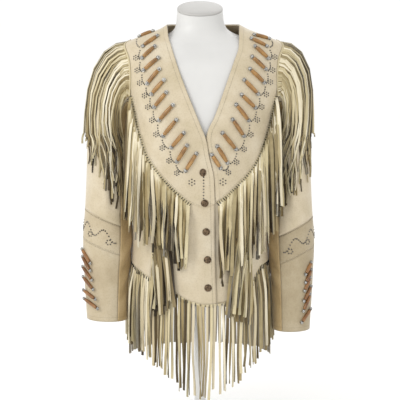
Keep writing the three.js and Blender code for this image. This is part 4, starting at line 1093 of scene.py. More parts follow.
class FringePiece:
    # collects strands and backings, then makes one object of them
    def __init__(self, name, flesh):
        self.name = name
        self.flesh = flesh
        self.parts = []
        self.tones = []
        # each strand's vertices also keep how much painted shade they take
        self.shadeLevels = []
        self.grain = []

    def addStrands(self, middles, across, outwardWay, width, twist, tones, shadeLevels):
        shape = strandShape(middles, across, outwardWay, width, twist)
        self.parts.append(shape)
        count, sections = middles.shape[:2]
        self.tones.append(np.repeat(tones, sections * 4))
        self.shadeLevels.append(np.repeat(np.broadcast_to(shadeLevels, (count, sections)).ravel(), 4))
        # three of the four sides and both ends take the first material, the fourth side the second
        side = count * (sections - 1)
        self.grain.append([1] * (3 * side) + [0] * side + [1] * (2 * count))

    def addStrip(self, shape):
        self.parts.append(shape)
        self.tones.append(np.full(len(shape[0]), 0.6))
        # the backing takes a little painted shade
        self.shadeLevels.append(np.full(len(shape[0]), 0.8))
        self.grain.append([0] * sum(len(group) for group in shape[1]))

    def addSlitShadows(self, upper, lower, outwardWay, widest):
        # painted shadow: short dark marks of uneven size on the backing, where the cuts between strands begin
        count = len(upper)
        none = np.zeros((count, 2))
        lower = upper + (lower - upper) * rng.uniform(0.4, 1.25, count)[:, None]
        middles = np.stack([upper, lower], 1)
        flow = unit(middles[:, 1:] - middles[:, :1])
        outwardWay = np.broadcast_to(outwardWay[:, None], middles.shape)
        across = unit(np.cross(np.broadcast_to(flow, middles.shape), outwardWay))
        width = rng.uniform(0.4, 1, count)[:, None] * np.array([0.7, 1.2]) * widest
        self.addStrands(middles, across, outwardWay, width, none, np.zeros(count), none)

    def make(self):
        vertices, groups = joinShapes(self.parts)
        item = makeObject(f"{self.name}_strands", vertices, groups, [strandGrain, self.flesh], smooth=False)
        item.data.polygons.foreach_set("material_index", np.concatenate(self.grain).astype(np.int32))
        setFloats(item, "tone", np.concatenate(self.tones))
        # the painted-shade levels are stored under the name depth
        setFloats(item, "depth", np.concatenate(self.shadeLevels))
        recalculate(item)
        return standsFor(item, "fringe_leather", self.name)


def aroundArmhole(sleeve, turn, margin, out):
    y = armhole["y"] - (armhole["deep"] + margin) * np.sin(turn)
    z = armhole["z"] + (armhole["high"] + margin) * np.cos(turn)
    return onBody(besideBody(y, z, sleeve["side"]), out)


def capFringe(piece, sleeve, spec):
    # strands lie over the sleeve cap in a puff and then hang down its outside, a few of them standing off
    count = spec["count"]
    share = (np.arange(count) + 0.5) / count
    turn = np.radians(between(spec["turns"], share))
    sections = fringe["sections"] + 2
    tip = tableAt(spec["tips"], share)[0] + uneven(count, spec["ragged"])
    capWays = np.array([0.1, 0.26, 0.44, 0.62, 0.82, 1.0])
    down = 1 + (upperArm - tip)[:, None] * np.linspace(0, 1, sections - len(capWays) + 1)[None, 1:]
    way = np.concatenate([np.broadcast_to(capWays, (count, len(capWays))), np.maximum(down, 1.5)], 1)
    reach = np.linspace(0, 1, sections)[None]
    layer = rng.uniform(0, 1, count)[:, None]
    lift = spec["lift"] * (0.5 + 0.5 * ease(reach * 3)) + layer * spec["layers"] * ease(reach * 2.5)
    puff = spec["puff"] * np.maximum(np.cos(turn), 0)[:, None] * np.exp(
        -((way - fringe["puffAt"]) / fringe["puffWide"]) ** 2)
    loose = rng.uniform(0, 1, (count, 1)) > 1 - fringe["wisps"]
    wisp = np.where(loose, fringe["wispLift"], 0) * ease(reach * 1.4)
    lift = lift * (1 - 0.7 * ease((way - 0.5) / 0.5)) + puff * (0.6 + 0.4 * layer) + wisp
    sway = uneven(count, 0.34)[:, None] * reach ** 0.8
    sway = sway + waver(count, 0.13, 9, reach) * ease(reach * 2.5)
    around = turn[:, None] + sway + spec["plumb"] * np.sin(turn)[:, None] * ease(reach * 1.5)
    middles = sleevePoint(sleeve, around, way, lift, creased=False)
    outwardWay = unit(sleevePoint(sleeve, around, way, lift + 1, creased=False) - middles)
    root = aroundArmhole(sleeve, turn, 3.6, 3.6)
    rootWay = unit(aroundArmhole(sleeve, turn, 3.6, 5.0) - root)
    middles = np.concatenate([root[:, None], middles], 1)
    outwardWay = np.concatenate([rootWay[:, None], outwardWay], 1)
    across, outwardWay = squareTo(middles, outwardWay)
    reach = np.concatenate([[[0.0]], reach], 1)
    twist = uneven(count, spec["twist"])[:, None] * reach ** 1.3
    twist = twist + waver(count, 0.8, 7, reach) * ease(reach * 3)
    width = spec["width"] * (1 + uneven(count, 0.3))[:, None] * (0.84 + 0 * reach)
    shade = 0.02 + layer ** 0.95 + 0.4 * (1 - ease(reach * 4))
    piece.addStrands(middles, across, outwardWay, width, twist, rng.uniform(0, 1, count),
                     np.minimum(shade, 1))
    stations = np.radians(np.linspace(*spec["turns"], 40))
    strip = stripShape(lambda out: aroundArmhole(sleeve, stations, 0.9, out), lambda out: aroundArmhole(
        sleeve, stations, 6.9, out), fringe["stripLow"] + 0.8, fringe["stripHigh"] + 0.8)
    piece.addStrip(strip)


def besideEdge(line, away, out, behind):
    # a place on the body beside an edge, away millimetres below it
    flow = unit(np.gradient(line, axis=0))
    normal = np.stack([flow[:, 1], -flow[:, 0]], -1)
    normal = np.where(normal[:, 1:] > 0, -normal, normal)
    moved = line + normal * away
    return onBody(placeOnBody(moved[:, 0], moved[:, 1], behind), out)


def edgeFringe(piece, edge, spec):
    # strands hang plumb from an edge, resting on whatever stands out furthest above them
    behind = spec.get("behind", False)
    count = spec["count"]
    sign = 1 if behind else -1
    line = evenLine(smoothLine(edge, 200), 2 * count + 1)
    share = (np.arange(count) + 0.5) / count
    roots = besideEdge(line, 4.5, 2.9, behind)[1::2]
    hangX, tip = tableAt(spec["hang"], share)
    hangX = hangX + uneven(count, spec["spread"])
    tip = tip + uneven(count, spec["ragged"])
    sections = fringe["sections"]
    reach = np.linspace(0, 1, sections)[None] ** 1.15
    z = roots[:, 2:] + (tip[:, None] - roots[:, 2:]) * reach
    x = roots[:, :1] + (hangX[:, None] - roots[:, :1]) * reach ** 0.6
    x = x + waver(count, spec["sway"], 5, reach) * reach
    depth = np.maximum.accumulate(outermost(x, z, behind), 1)
    fall = (roots[:, 2:] - z)
    layer = rng.uniform(0, 1, count)[:, None]
    y = sign * (depth + 1.2 + (spec["lift"] - 1.2 + layer * spec["layers"]) * ease(fall / 45))
    bulge = np.abs(uneven(count, 3.0))[:, None]
    y = y + sign * bulge * np.sin(reach * 4 + rng.uniform(0, 3, count)[:, None]) * reach
    y[:, 0] = roots[:, 1]
    middles = np.stack([x, y, z], -1)
    middles[:, 0] = roots
    flow = unit(np.gradient(middles, axis=1))
    outwardWay = np.broadcast_to([0.0, sign, 0.0], middles.shape)
    across = unit(np.cross(flow, outwardWay))
    outwardWay = unit(np.cross(across, flow))
    twist = uneven(count, spec["twist"])[:, None] * reach ** 1.2
    twist = twist + waver(count, 0.9, 8, reach) * ease(reach * 3)
    width = spec["width"] * (1 + uneven(count, 0.26))[:, None] * (0.84 + 0.16 * ease(reach * 4))
    tones = rng.uniform(0, 1, count)
    shade = 0.02 + layer ** 0.75 + 0.6 * (1 - ease(reach * 5))
    piece.addStrands(middles, across, outwardWay, width, twist, tones, np.minimum(shade, 1))
    # painted shadow in the cuts below the edge
    upper = besideEdge(line, 0.8, 3.8, behind)[::2]
    lower = besideEdge(line, 10.0, 5.0, behind)[::2]
    slitWay = unit(besideEdge(line, 4.5, 5.0, behind)[::2] - besideEdge(line, 4.5, 4.0, behind)[::2])
    piece.addSlitShadows(upper, lower, slitWay, 2.1)
    fine = evenLine(smoothLine(edge, 200), 90)
    strip = stripShape(lambda out: besideEdge(fine, 0.4, out, behind), lambda out: besideEdge(
        fine, fringe["stripWide"], out, behind), fringe["stripLow"], fringe["stripHigh"] - 0.3)
    piece.addStrip(strip)


rightFringe = FringePiece("fringe_yoke_right", strandFlesh)
capFringe(rightFringe, sleeves["right"], dict(
    count=64, turns=(3, 112), tips=[(0, 690), (0.25, 600), (0.6, 545),
                                    (1, 500)], ragged=26, lift=3.0, layers=8.0,
    twist=3.4, width=4.8, plumb=0.62, puff=15.0))
edgeFringe(rightFringe, outlines["rightYokeEdge"][:-2], dict(
    count=48, hang=[(0, -168, 500), (0.24, -148, 465), (0.5, -112, 420), (0.71, -76, 425), (0.94, -38, 390),
                    (1, -28, 378)],
    ragged=24, spread=6, sway=5, lift=6.0, layers=9.0, twist=3.0, width=6.2))
rightFringe.make()
leftFringe = FringePiece("fringe_yoke_left", strandFlesh)
capFringe(leftFringe, sleeves["left"], dict(
    count=64, turns=(3, 112), tips=[(0, 690), (0.2, 580), (0.6, 530),
                                    (1, 492)], ragged=26, lift=3.0, layers=8.0,
    twist=3.4, width=4.8, plumb=0.62, puff=15.0))
edgeFringe(leftFringe, outlines["leftYokeEdge"], dict(
    count=50, hang=[(0, 180, 505), (0.25, 160, 460), (0.5, 128, 408), (0.75, 82, 360), (1, 38, 345)],
    ragged=24, spread=7, sway=5, lift=6.0, layers=9.0, twist=3.0, width=6.2))
leftFringe.make()
backFringe = FringePiece("fringe_yoke_back", strandFlesh)
for label in ("right", "left"):
    capFringe(backFringe, sleeves[label], dict(
        count=32, turns=(-1, -112), tips=[(0, 660), (0.4, 575),
                                          (1, 505)], ragged=22, lift=3.0, layers=7.0, twist=2.6,
        width=6.2, plumb=0.36, puff=13.0))
edgeFringe(backFringe, outlines["backYokeEdge"], dict(
    count=64, hang=[(0, -170, 500), (0.15, -140, 478), (0.5, 4, 392), (0.85, 148, 478),
                    (1, 180, 500)], behind=True,
    ragged=16, spread=5, sway=4, lift=4.5, layers=5.0, twist=2.2, width=6.4))
backFringe.make()


def seamFringe(name, seam, side, spec):
    # a bunch that hangs from a short upright backing on the princess seam
    piece = FringePiece(name, strandFlesh)
    count = spec["count"]
    table = np.array(seam, float)
    line = monotone(table[:, 1], table[:, 0])
    share = (np.arange(count) + 0.5) / count
    z0 = spec["top"] + (spec["bottom"] - spec["top"]) * share
    x0 = line(z0)
    roots = onBody(placeOnBody(x0 - side * 4, z0), 3.3)
    hangX = between(spec["hang"], share) + uneven(count, 7)
    tip = between(spec["tips"], share) + uneven(count, 17)
    sections = fringe["sections"]
    reach = np.linspace(0, 1, sections)[None] ** 1.1
    z = roots[:, 2:] + (tip[:, None] - roots[:, 2:]) * reach
    x = roots[:, :1] + (hangX[:, None] - roots[:, :1]) * reach ** 0.45
    x = x + waver(count, 4, 5, reach) * reach
    depth = np.maximum.accumulate(outermost(x, z, False), 1)
    layer = rng.uniform(0, 1, count)[:, None]
    y = -(depth + 1.0 + (4.0 + 7.0 * layer) * ease((roots[:, 2:] - z) / 40))
    middles = np.stack([x, y, z], -1)
    middles[:, 0] = roots
    flow = unit(np.gradient(middles, axis=1))
    outwardWay = np.broadcast_to([0.0, -1.0, 0.0], middles.shape)
    across = unit(np.cross(flow, outwardWay))
    outwardWay = unit(np.cross(across, flow))
    twist = uneven(count, 2.6)[:, None] * reach ** 1.2
    width = 6.0 * (1 + uneven(count, 0.25))[:, None] * (1 + 0 * reach)
    shade = 0.02 + 0.98 * layer ** 0.75 + 0 * reach
    piece.addStrands(middles, across, outwardWay, width, twist, rng.uniform(0, 1, count), shade)
    fine = np.linspace(spec["top"], spec["bottom"], 40)
    place = lambda away, out: onBody(placeOnBody(line(fine) - side * away, fine), out + 0.4)
    piece.addStrip(stripShape(lambda out: place(-1, out), lambda out: place(5, out), fringe["stripLow"],
                              fringe["stripHigh"]))
    return piece.make()


seamFringe("fringe_seam_right", outlines["rightSeam"], -1, dict(
    count=26, top=520, bottom=372, hang=(-56, -100), tips=(302, 280)))
seamFringe("fringe_seam_left", outlines["leftSeam"], 1, dict(
    count=26, top=520, bottom=372, hang=(62, 106), tips=(290, 262)))

hemLines = dict(
    right=[(-159, 381), (-130, 363), (-112, 353), (-104, 350), (-78, 337), (-53, 323), (-21, 306),
           (11, 298), (36, 300)],
    left=[(36, 300), (47, 301), (75, 311), (96, 322), (110, 336), (118, 356), (130, 374), (159, 381)],
    back=[(-159, 381), (-124, 345), (124, 345), (159, 381)],
    tips=[(-160, 205), (-130, 192), (-97, 166), (-65, 138), (-54, 124), (-11, 101), (10, 97), (21, 99),
          (60, 117),
          (97, 146), (119, 175), (160, 218)],
)


def hemHeight(turn, table):
    # the hem's height at each turn, found by a few passes because x depends on the height
    table = np.asarray(table, float)
    z = np.full(turn.shape, 345.0)
    for _ in range(5):
        x = bodySurface(turn, levelOf(z))[..., 0]
        z = np.interp(x, table[:, 0], table[:, 1])
    return z


def besideHem(turn, table, down, out):
    # a row of places down millimetres below the hem
    return onBody(np.stack([turn, levelOf(hemHeight(turn, table) - down)], -1), out, creased=False)


def hemFringe(name, flesh, table, spec):
    piece = FringePiece(name, flesh)
    for layer in spec["layers"]:
        count = layer["count"]
        share = (np.arange(count) + 0.5) / count
        turn = between(spec["turns"], share)
        z0 = hemHeight(turn, table) - 1.5
        here = bodySurface(turn, levelOf(300.0 + 0 * turn))
        tip = np.interp(here[:, 0], *np.array(spec["tips"], float).T) + uneven(count, spec["ragged"])
        sections = fringe["sections"] - 2
        reach = np.linspace(0, 1, sections)[None] ** 1.05
        z = z0[:, None] + (tip - z0)[:, None] * reach
        drift = uneven(count, spec["sway"])[:, None] * reach ** 1.4 / 130
        drift = drift + waver(count, spec["sway"] * 0.5, 6, reach) / 130 * reach
        around = turn[:, None] + drift
        place = np.stack([around, levelOf(z)], -1)
        swing = uneven(count, spec["swing"])[:, None]
        out = body["wall"] / 2 + layer["out"] * ease(reach * 3) + swing * reach ** 1.3
        middles = onBody(place, out, creased=False)
        outwardWay = unit(onBody(place, out + 1, creased=False) - middles)
        across, outwardWay = squareTo(middles, outwardWay)
        twist = uneven(count, spec["twist"])[:, None] * reach ** 1.2
        twist = twist + waver(count, spec["twist"] * 0.2, 7, reach) * ease(reach * 3)
        width = layer["width"] * (1 + uneven(count, 0.12))[:, None] * (1 + 0 * reach)
        tones = np.clip(rng.normal(spec["tone"], 0.3, count), 0, 1)
        shade = np.clip(layer["shade"] + uneven(count, layer["uneven"])[:, None] + 0 * reach, 0, 1)
        piece.addStrands(middles, across, outwardWay, width, twist, tones, shade)
    fine = np.linspace(*spec["turns"], 90)
    piece.addStrip(stripShape(lambda out: besideHem(fine, table, 0.3, out),
                              lambda out: besideHem(fine, table, 5, out), 0.0, body["wall"]))
    # painted shadow in the cuts along the hem
    cuts = spec["layers"][0]["count"]
    slits = between(spec["turns"], np.arange(1, cuts) / cuts)
    top = besideHem(slits, table, 0.6, body["wall"] + 0.6)
    low = besideHem(slits, table, 9.5, body["wall"] + 1.6)
    piece.addSlitShadows(top, low, unit(besideHem(slits, table, 0.6, body["wall"] + 2) - top), 1.3)
    return piece.make()


frontTurn = placeOnBody(np.array([35.0, 38.0]), np.array([300.0, 300.0]))[:, 0]
hemFringe("fringe_hem_right", strandFlesh, hemLines["right"], dict(
    turns=(math.radians(-176), frontTurn[0]), tips=hemLines["tips"], ragged=11, sway=4.5, swing=3.5,
    twist=2.4, tone=0.58,
    layers=[dict(count=38, out=0.6, width=5.3, shade=0.62, uneven=0.4),
            dict(count=14, out=6.0, width=5.4, shade=0.85, uneven=0.3)]))
hemFringe("fringe_hem_left", strandFlesh, hemLines["left"], dict(
    turns=(frontTurn[1], math.radians(-4)), tips=hemLines["tips"], ragged=11, sway=4.5, swing=3.5, twist=2.4,
    tone=0.58,
    layers=[dict(count=25, out=0.6, width=5.3, shade=0.62, uneven=0.4),
            dict(count=10, out=6.0, width=5.4, shade=0.85, uneven=0.3)]))
hemFringe("fringe_hem_back", backStrandFlesh, hemLines["back"], dict(
    turns=(math.radians(4), math.radians(176)), tips=[(-170, 156), (170, 156)],
    ragged=2, sway=2.5, swing=2, twist=0.35,
    tone=0.5, layers=[dict(count=54, out=0.6, width=7.4, shade=0.9, uneven=0.1)]))
print("fringe made")


# hairpipe beads: tapered horn tubes with a round metal bead at each end
beads = dict(
    yoke=dict(radius=4.5, endRadius=3.4, ball=4.3, seat=2.4),
    sleeve=dict(radius=4.1, endRadius=3.0, ball=3.8, seat=2.1),
    rightYoke=[((-97, 871), (-131, 858)), ((-88, 863), (-122, 839)), ((-92, 842), (-122, 815)),
               ((-84, 819), (-118, 790)), ((-82, 797), (-110, 763)), ((-72, 775), (-101, 742)),
               ((-67, 750), (-95, 715)), ((-53, 724), (-85, 688)), ((-46, 694), (-77, 656)),
               ((-31, 668), (-60, 633)), ((-25, 642), (-49, 603)), ((-6, 625), (-31, 584))],
    leftYoke=[((112, 864), (149, 854)), ((106, 857), (143, 839)), ((113, 842), (144, 814)),
              ((106, 821), (138, 792)), ((101, 797), (134, 765)), ((89, 775), (121, 742)),
              ((83, 745), (115, 714)),
              ((72, 725), (101, 688)), ((65, 695), (91, 656)), ((44, 668), (75, 629)), ((34, 640), (58, 600)),
              ((23, 622), (44, 589))],
    rightSleeve=[((-258, 403), (-233, 374)), ((-256, 387), (-233, 358)), ((-255, 365), (-229, 338)),
                 ((-253, 343), (-226, 318)), ((-252, 314), (-220, 298)), ((-250, 296), (-215, 278))],
    leftSleeve=[((242, 377), (226, 350)), ((242, 361), (226, 332)), ((239, 345), (224, 314)),
                ((241, 325), (222, 292)), ((239, 308), (222, 270)), ((240, 275), (217, 246))],
)


# the end beads are domes with a groove round them
domeProfile = np.array([(0.7, -0.6), (1.02, -0.35), (1.06, 0.0), (1.0, 0.22), (0.8, 0.1), (0.7, 0.16),
                        (0.66, 0.44),
                        (0.46, 0.7), (0.18, 0.82)])


def beadRow(name, ends, upward, size, material):
    # ends is (n, 2, 3); each tube is straight, so its middle is what rests on the leather
    start, end = ends[:, 0], ends[:, 1]
    way = unit(end - start)
    length = np.linalg.norm(end - start, axis=1)
    upward = unit(upward - (upward * way).sum(1, keepdims=True) * way)
    across = np.cross(upward, way)
    tubeParts = []
    ballParts = []
    sides = 10
    share = np.linspace(0, 1, 9)
    for i in range(len(ends)):
        tube = length[i] - 2 * size["ball"] * 1.5
        radius = size["endRadius"] + (size["radius"] - size["endRadius"]) * np.sin(math.pi * share) ** 0.7
        profile = np.stack([radius, size["ball"] * 1.5 + tube * share], 1)
        profile = np.concatenate([[[size["endRadius"] * 0.7, profile[0, 1]]], profile,
                                  [[size["endRadius"] * 0.7, profile[-1, 1]]]])
        axes = np.stack([across[i], upward[i], way[i]])[None]
        tubeParts.append(repeatShape(lathe(profile, sides), start[i:i + 1], axes))
        upright = np.stack([across[i], way[i], upward[i]])[None]
        for centre in (start[i] + way[i] * size["ball"] * 0.6, end[i] - way[i] * size["ball"] * 0.6):
            ballParts.append(repeatShape(lathe(domeProfile * size["ball"], 12), centre[None], upright))
    tubes = makeObject(name, *joinShapes(tubeParts), [material])
    rings = np.concatenate([np.repeat(np.arange(11), sides), [0, 10]])
    spokes = np.concatenate([np.tile(np.arange(sides), 11), [0, 0]])
    setFloats(tubes, "grainAlong", (rings[None] * 0.12 + np.arange(len(ends))[:, None] * 3.7).ravel())
    setFloats(tubes, "grainAround",
              np.tile(np.sin(spokes * math.pi / 5) * 2.4 + np.cos(spokes * math.pi / 5), len(ends)))
    balls = makeObject(name.replace("hairpipes", "end_beads"), *joinShapes(ballParts), [nickelStud])
    standsFor(tubes, "jacket_leather")
    standsFor(balls, "snap_metal")
    return [tubes, balls]


def yokeBeads(name, pairs, lap, sheetName):
    pairs = np.asarray(pairs, float)
    places = placeOnBody(pairs[..., 0], pairs[..., 1])
    centre = placeOnBody(pairs[..., 0].mean(1), pairs[..., 1].mean(1))
    normal = bodyNormal(centre[:, 0], centre[:, 1])
    size = beads["yoke"]
    ends = onBody(places, body["yokeTop"], lap=lap)
    middle = onBody(centre, body["yokeTop"], lap=lap)
    rise = np.maximum(((middle - ends.mean(1)) * normal).sum(1), 0) + size["seat"]
    ends = ends + (normal * rise[:, None])[:, None, :]
    sheets[sheetName]["pieces"] += beadRow(name, ends, normal, size, hairpipeHorn)


yokeBeads("hairpipes_yoke_right", beads["rightYoke"], False, "yoke_right")
yokeBeads("hairpipes_yoke_left", beads["leftYoke"], True, "yoke_left")


def onSleeveView(sleeve, x, z):
    # turn and way on the sleeve below a point of the front view
    near = tubePoint(sleeve, 0 * z, z)[..., 0]
    far = tubePoint(sleeve, 0 * z + math.pi, z)[..., 0]
    share = np.clip((2 * x - near - far) / (near - far), -1, 0.97)
    return np.arccos(share), 1 + upperArm - z


def sleeveBeads(name, sleeve, pairs, sheetName):
    pairs = np.asarray(pairs, float)
    turn, way = onSleeveView(sleeve, pairs[..., 0], pairs[..., 1])
    size = beads["sleeve"]
    ends = sleevePoint(sleeve, turn, way, 0.0)
    middle = sleevePoint(sleeve, turn.mean(1), way.mean(1), 0.0)
    normal = unit(sleevePoint(sleeve, turn.mean(1), way.mean(1), 1.0) - middle)
    rise = np.maximum(((middle - ends.mean(1)) * normal).sum(1), 0) + size["seat"]
    ends = ends + (normal * rise[:, None])[:, None, :]
    sheets[sheetName]["pieces"] += beadRow(name, ends, normal, size, darkHorn)


sleeveBeads("hairpipes_sleeve_right", sleeves["right"], beads["rightSleeve"], "sleeve_right_lower")
sleeveBeads("hairpipes_sleeve_left", sleeves["left"], beads["leftSleeve"], "sleeve_left_lower")


# small domed studs in scallops and rosettes
studs = dict(radius=1.75, bandRadius=1.8, linkStuds=6, scallopOut=3, scallopDeep=5, rosette=4.7,
             rosetteOut=15.5, endRosette=6.4)
studShape = lathe([(1.0, -0.25), (1.0, 0.1), (0.78, 0.62), (0.36, 0.95)], 8)


def addStuds(name, points, normals, scale, material):
    side = unit(np.cross(normals, [0.0, 0.0, 1.0]) + 1e-6)
    up = np.cross(normals, side)
    axes = np.stack([side * scale, up * scale, normals * scale * 0.75], 1)
    item = makeObject(name, *repeatShape(studShape, points, axes), [material])
    return standsFor(item, "snap_metal")


def rosette(centre, radius):
    # one stud with six round it
    angle = np.radians(np.arange(6) * 60 + 30)
    ring = np.stack([np.cos(angle), np.sin(angle)], 1) * radius
    return np.concatenate([[[0.0, 0.0]], ring]) + centre


def yokeScallops(pairs):
    # scallops join the outer ends of the beads, with a rosette outside each one that has the room
    spots = []
    pairs = np.asarray(pairs, float)
    share = ((np.arange(studs["linkStuds"]) + 1) / (studs["linkStuds"] + 1))[:, None]
    for i, (start, end) in enumerate(pairs[:-1]):
        outward = (end - start) / np.linalg.norm(end - start)
        after = pairs[i + 1][1]
        spots.append(end + (after - end) * share + outward * (
            studs["scallopOut"] + studs["scallopDeep"] * np.sin(math.pi * share)))
        if i > 0:
            spots.append(rosette((end + after) / 2 + outward * studs["rosetteOut"], studs["rosette"]))
    return np.concatenate(spots)


def yokeStuds(name, spots, lap, sheetName, material):
    place = placeOnBody(spots[:, 0], spots[:, 1])
    points = onBody(place, body["yokeTop"], lap=lap)
    item = addStuds(name, points, bodyNormal(place[:, 0], place[:, 1]), studs["radius"], material)
    sheets[sheetName]["pieces"].append(item)


# each yoke ends in a rosette, and a short run joins the first two snaps
rightRun = np.stack([np.full(8, 7.5), np.linspace(572, 526, 8)], 1)
rightDrop = rosette((-17, 561), studs["endRosette"])
leftDrop = rosette((48, 561), studs["endRosette"])
yokeStuds("studs_yoke_right", np.concatenate([yokeScallops(beads["rightYoke"]), rightRun, rightDrop]),
          False,
          "yoke_right", blackenedStud)
yokeStuds("studs_yoke_left", np.concatenate([yokeScallops(beads["leftYoke"]), leftDrop]), True, "yoke_left",
          blackenedStud)


def bandStuds(name, sleeve, label):
    # a wave round the band with a small open ring beside each of its turns
    turn = np.radians(np.linspace(-100, 112, 52))
    middle = (slantWay(sleeve, turn, sleeve["upperSeam"], sleeve["slope"])
              + slantWay(sleeve, turn, sleeve["lowerSeam"], sleeve["slope"] * 0.9)) / 2
    wave = middle + 10 * np.sin(turn * 7.5)
    crest = np.radians(np.array([-96, -48, 0, 48, 96]))
    angle = np.radians(np.arange(0, 300, 58))
    curlTurn = (crest[:, None] + 0.11 * np.cos(angle)).ravel()
    curlWay = (np.interp(crest, turn, middle)[:, None] + 12 + 5 * np.sin(angle)).ravel()
    turns = np.concatenate([turn, curlTurn])
    ways = np.concatenate([wave, curlWay])
    points = sleevePoint(sleeve, turns, ways, 0.0)
    normals = unit(sleevePoint(sleeve, turns, ways, 1.0) - points)
    item = addStuds(name, points, normals, studs["bandRadius"], gunmetalStud)
    sheets[f"sleeve_{label}_band"]["pieces"].append(item)


bandStuds("studs_band_right", sleeves["right"], "right")
bandStuds("studs_band_left", sleeves["left"], "left")
print("beads and studs made")


# snaps: turned caps on the front edge, the first one oval
snaps = dict(spots=[(6, 582, 0.2), (10, 516, 0.3), (13, 454, 0.2), (16, 394, 0.1), (17, 334, 0.05)],
             radius=8.5,
             profile=[(0.9, -0.2), (0.98, 0.0), (1.0, 0.06), (0.98, 0.13), (0.88, 0.17), (0.8, 0.16),
                      (0.74, 0.19),
                      (0.62, 0.27), (0.42, 0.32), (0.16, 0.34)])
for i, (x, z, rise) in enumerate(snaps["spots"]):
    place = placeOnBody(np.array([x]), np.array([z]))
    top = (body["yokeTop"] if z > 510 else body["wall"]) + rise
    centre = onBody(place, top)
    normal = bodyNormal(place[:, 0], place[:, 1])
    side = unit(np.cross([0.0, 0.0, 1.0], normal))
    up = np.cross(normal, side)
    radius = snaps["radius"]
    axes = np.stack([side * radius * (0.84 if i == 0 else 0.94), up * radius * (1 if i == 0 else 0.94),
                     normal * radius], 1)
    item = makeObject(f"snap_{i + 1}_turned", *repeatShape(lathe(snaps["profile"], 28), centre, axes),
                      [agedBronze])
    standsFor(item, "snap_metal", f"snap_{i + 1}")


# stitches: short thread capsules that dip into the leather at both ends
stitching = dict(length=2.9, pitch=4.2, radius=0.42)
stitchShape = lathe([(0.45, -0.5), (1.0, -0.34), (1.0, 0.34), (0.45, 0.5)], 6)


def stitchLine(points, normals):
    # centres and axes of the stitches along a line of surface points
    reach = runOf(points)
    count = max(int(reach[-1] / stitching["pitch"]), 2)
    at = (np.arange(count) + 0.5) * reach[-1] / count
    centres = np.stack([np.interp(at, reach, points[:, k]) for k in range(3)], 1)
    upward = unit(np.stack([np.interp(at, reach, normals[:, k]) for k in range(3)], 1))
    flow = np.gradient(points, axis=0)
    flow = unit(np.stack([np.interp(at, reach, flow[:, k]) for k in range(3)], 1))
    side = np.cross(upward, flow)
    radius = stitching["radius"]
    return centres, np.stack([side * radius, upward * radius * 0.8, flow * stitching["length"]], 1)


def bodyStitches(line, out, behind=False, lap=False):
    place = placeOnBody(line[:, 0], line[:, 1], behind)
    points = onBody(place, out + 0.1, lap=lap)
    return stitchLine(points, bodyNormal(place[:, 0], place[:, 1]))


def inset(line, away):
    # a line moved sideways in the front view
    flow = unit(np.gradient(line, axis=0))
    return line + np.stack([flow[:, 1], -flow[:, 0]], -1) * away


def addStitches(name, rows, material, sheetName):
    centres = np.concatenate([row[0] for row in rows])
    axes = np.concatenate([row[1] for row in rows])
    item = makeObject(name, *repeatShape(stitchShape, centres, axes), [material])
    standsFor(item, "jacket_leather")
    sheets[sheetName]["pieces"].append(item)


rightFree = smoothLine(outlines["rightYokeFree"][:-3], 160)
leftFree = smoothLine(outlines["leftYokeFree"][3:-3], 160)
rightLow = smoothLine(outlines["rightFree"][:4], 80)
rightEdge = smoothLine(outlines["rightYokeEdge"], 160)
leftEdge = smoothLine(outlines["leftYokeEdge"], 160)
backEdge = smoothLine(outlines["backYokeEdge"], 200)
addStitches("stitches_yoke_right", [
    bodyStitches(inset(rightFree, -9), body["yokeTop"]),
    bodyStitches(inset(rightEdge, -2.4), body["yokeTop"])],
    seamThread, "yoke_right")
addStitches("stitches_yoke_left", [
    bodyStitches(inset(leftFree, 9), body["yokeTop"], lap=True),
    bodyStitches(inset(leftEdge, 2.4), body["yokeTop"], lap=True)], seamThread, "yoke_left")
addStitches("stitches_yoke_back", [bodyStitches(inset(backEdge, -2.4), body["yokeTop"], behind=True)],
            seamThread,
            "yoke_back")
addStitches("stitches_front_right", [bodyStitches(inset(rightLow, -9), body["wall"])], seamThread,
            "front_right")


def bandStitches(name, sleeve, label):
    turn = np.radians(np.linspace(-123, 123, 120))
    rows = []
    for z, slope, shift in ((sleeve["upperSeam"], sleeve["slope"], 2.6),
                            (sleeve["lowerSeam"], sleeve["slope"] * 0.9, -3.0)):
        way = slantWay(sleeve, turn, z, slope) + shift
        points = sleevePoint(sleeve, turn, way, 0.1)
        rows.append(stitchLine(points, unit(sleevePoint(sleeve, turn, way, 1.1) - points)))
    addStitches(f"{name}_high", rows[:1], darkThread, f"sleeve_{label}_band")
    addStitches(f"{name}_low", rows[1:], seamThread, f"sleeve_{label}_band")


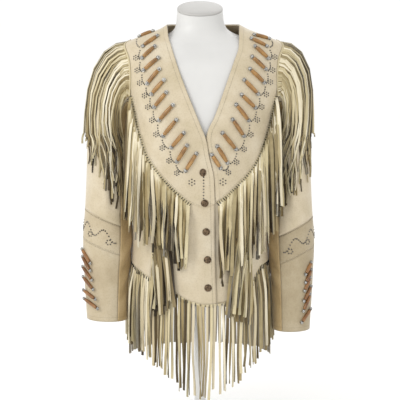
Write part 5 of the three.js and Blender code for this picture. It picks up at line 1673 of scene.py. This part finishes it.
bandStitches("stitches_band_right", sleeves["right"], "right")
bandStitches("stitches_band_left", sleeves["left"], "left")
print("snaps and stitches made")

# the cloth's cut, piece by piece
sheets["yoke_right"]["pieces"].append("fringe_yoke_right")
sheets["yoke_left"]["pieces"].append("fringe_yoke_left")
sheets["yoke_back"]["pieces"].append("fringe_yoke_back")
sheets["front_right"]["pieces"] += ["fringe_seam_right", "fringe_hem_right"]
sheets["front_left"]["pieces"] += ["fringe_seam_left", "fringe_hem_left"]
sheets["back"]["pieces"].append("fringe_hem_back")

# studio
studio = dict(floorSide=400.0, world="ffffff", worldStrength=1.06)
floorData = bpy.data.meshes.new("floor")
half = studio["floorSide"] / 2
floorData.from_pydata([(-half, -half, 0), (half, -half, 0), (half, half, 0), (-half, half, 0)], [],
                      [(0, 1, 2, 3)])
floor = bpy.data.objects.new("floor", floorData)
bpy.context.scene.collection.objects.link(floor)
floorMaterial, floorTree, floorPlace = startMaterial("paleFloorPaint")
floorCloud = noise(floorTree, floorPlace, 1.5, 2)
floorColour = ramp(floorTree, floorCloud, [(0.3, "f9f9f8"), (0.7, "fbfbfa")])
finishMaterial(floorTree, {"Base Color": floorColour, "Roughness": 0.8})
floorData.materials.append(floorMaterial)
world = bpy.data.worlds.new("studioWorld")
world.use_nodes = True
world.node_tree.nodes["Background"].inputs["Color"].default_value = paint(studio["world"])
world.node_tree.nodes["Background"].inputs["Strength"].default_value = studio["worldStrength"]
bpy.context.scene.world = world
bpy.context.scene.view_settings.view_transform = "Standard"


def addLight(name, spot, aim, size, power):
    data = bpy.data.lights.new(name, "AREA")
    data.size = size
    data.energy = power
    item = bpy.data.objects.new(name, data)
    item.location = spot
    item.rotation_euler = (Vector(aim) - Vector(spot)).to_track_quat("-Z", "Y").to_euler()
    bpy.context.scene.collection.objects.link(item)


addLight("keyLight", (-2.2, -2.1, 2.1), (0, 0, 0.55), 1.0, 29)
addLight("backLight", (0.6, 2.4, 2.2), (0, 0, 0.6), 1.6, 10)
print("studio made")
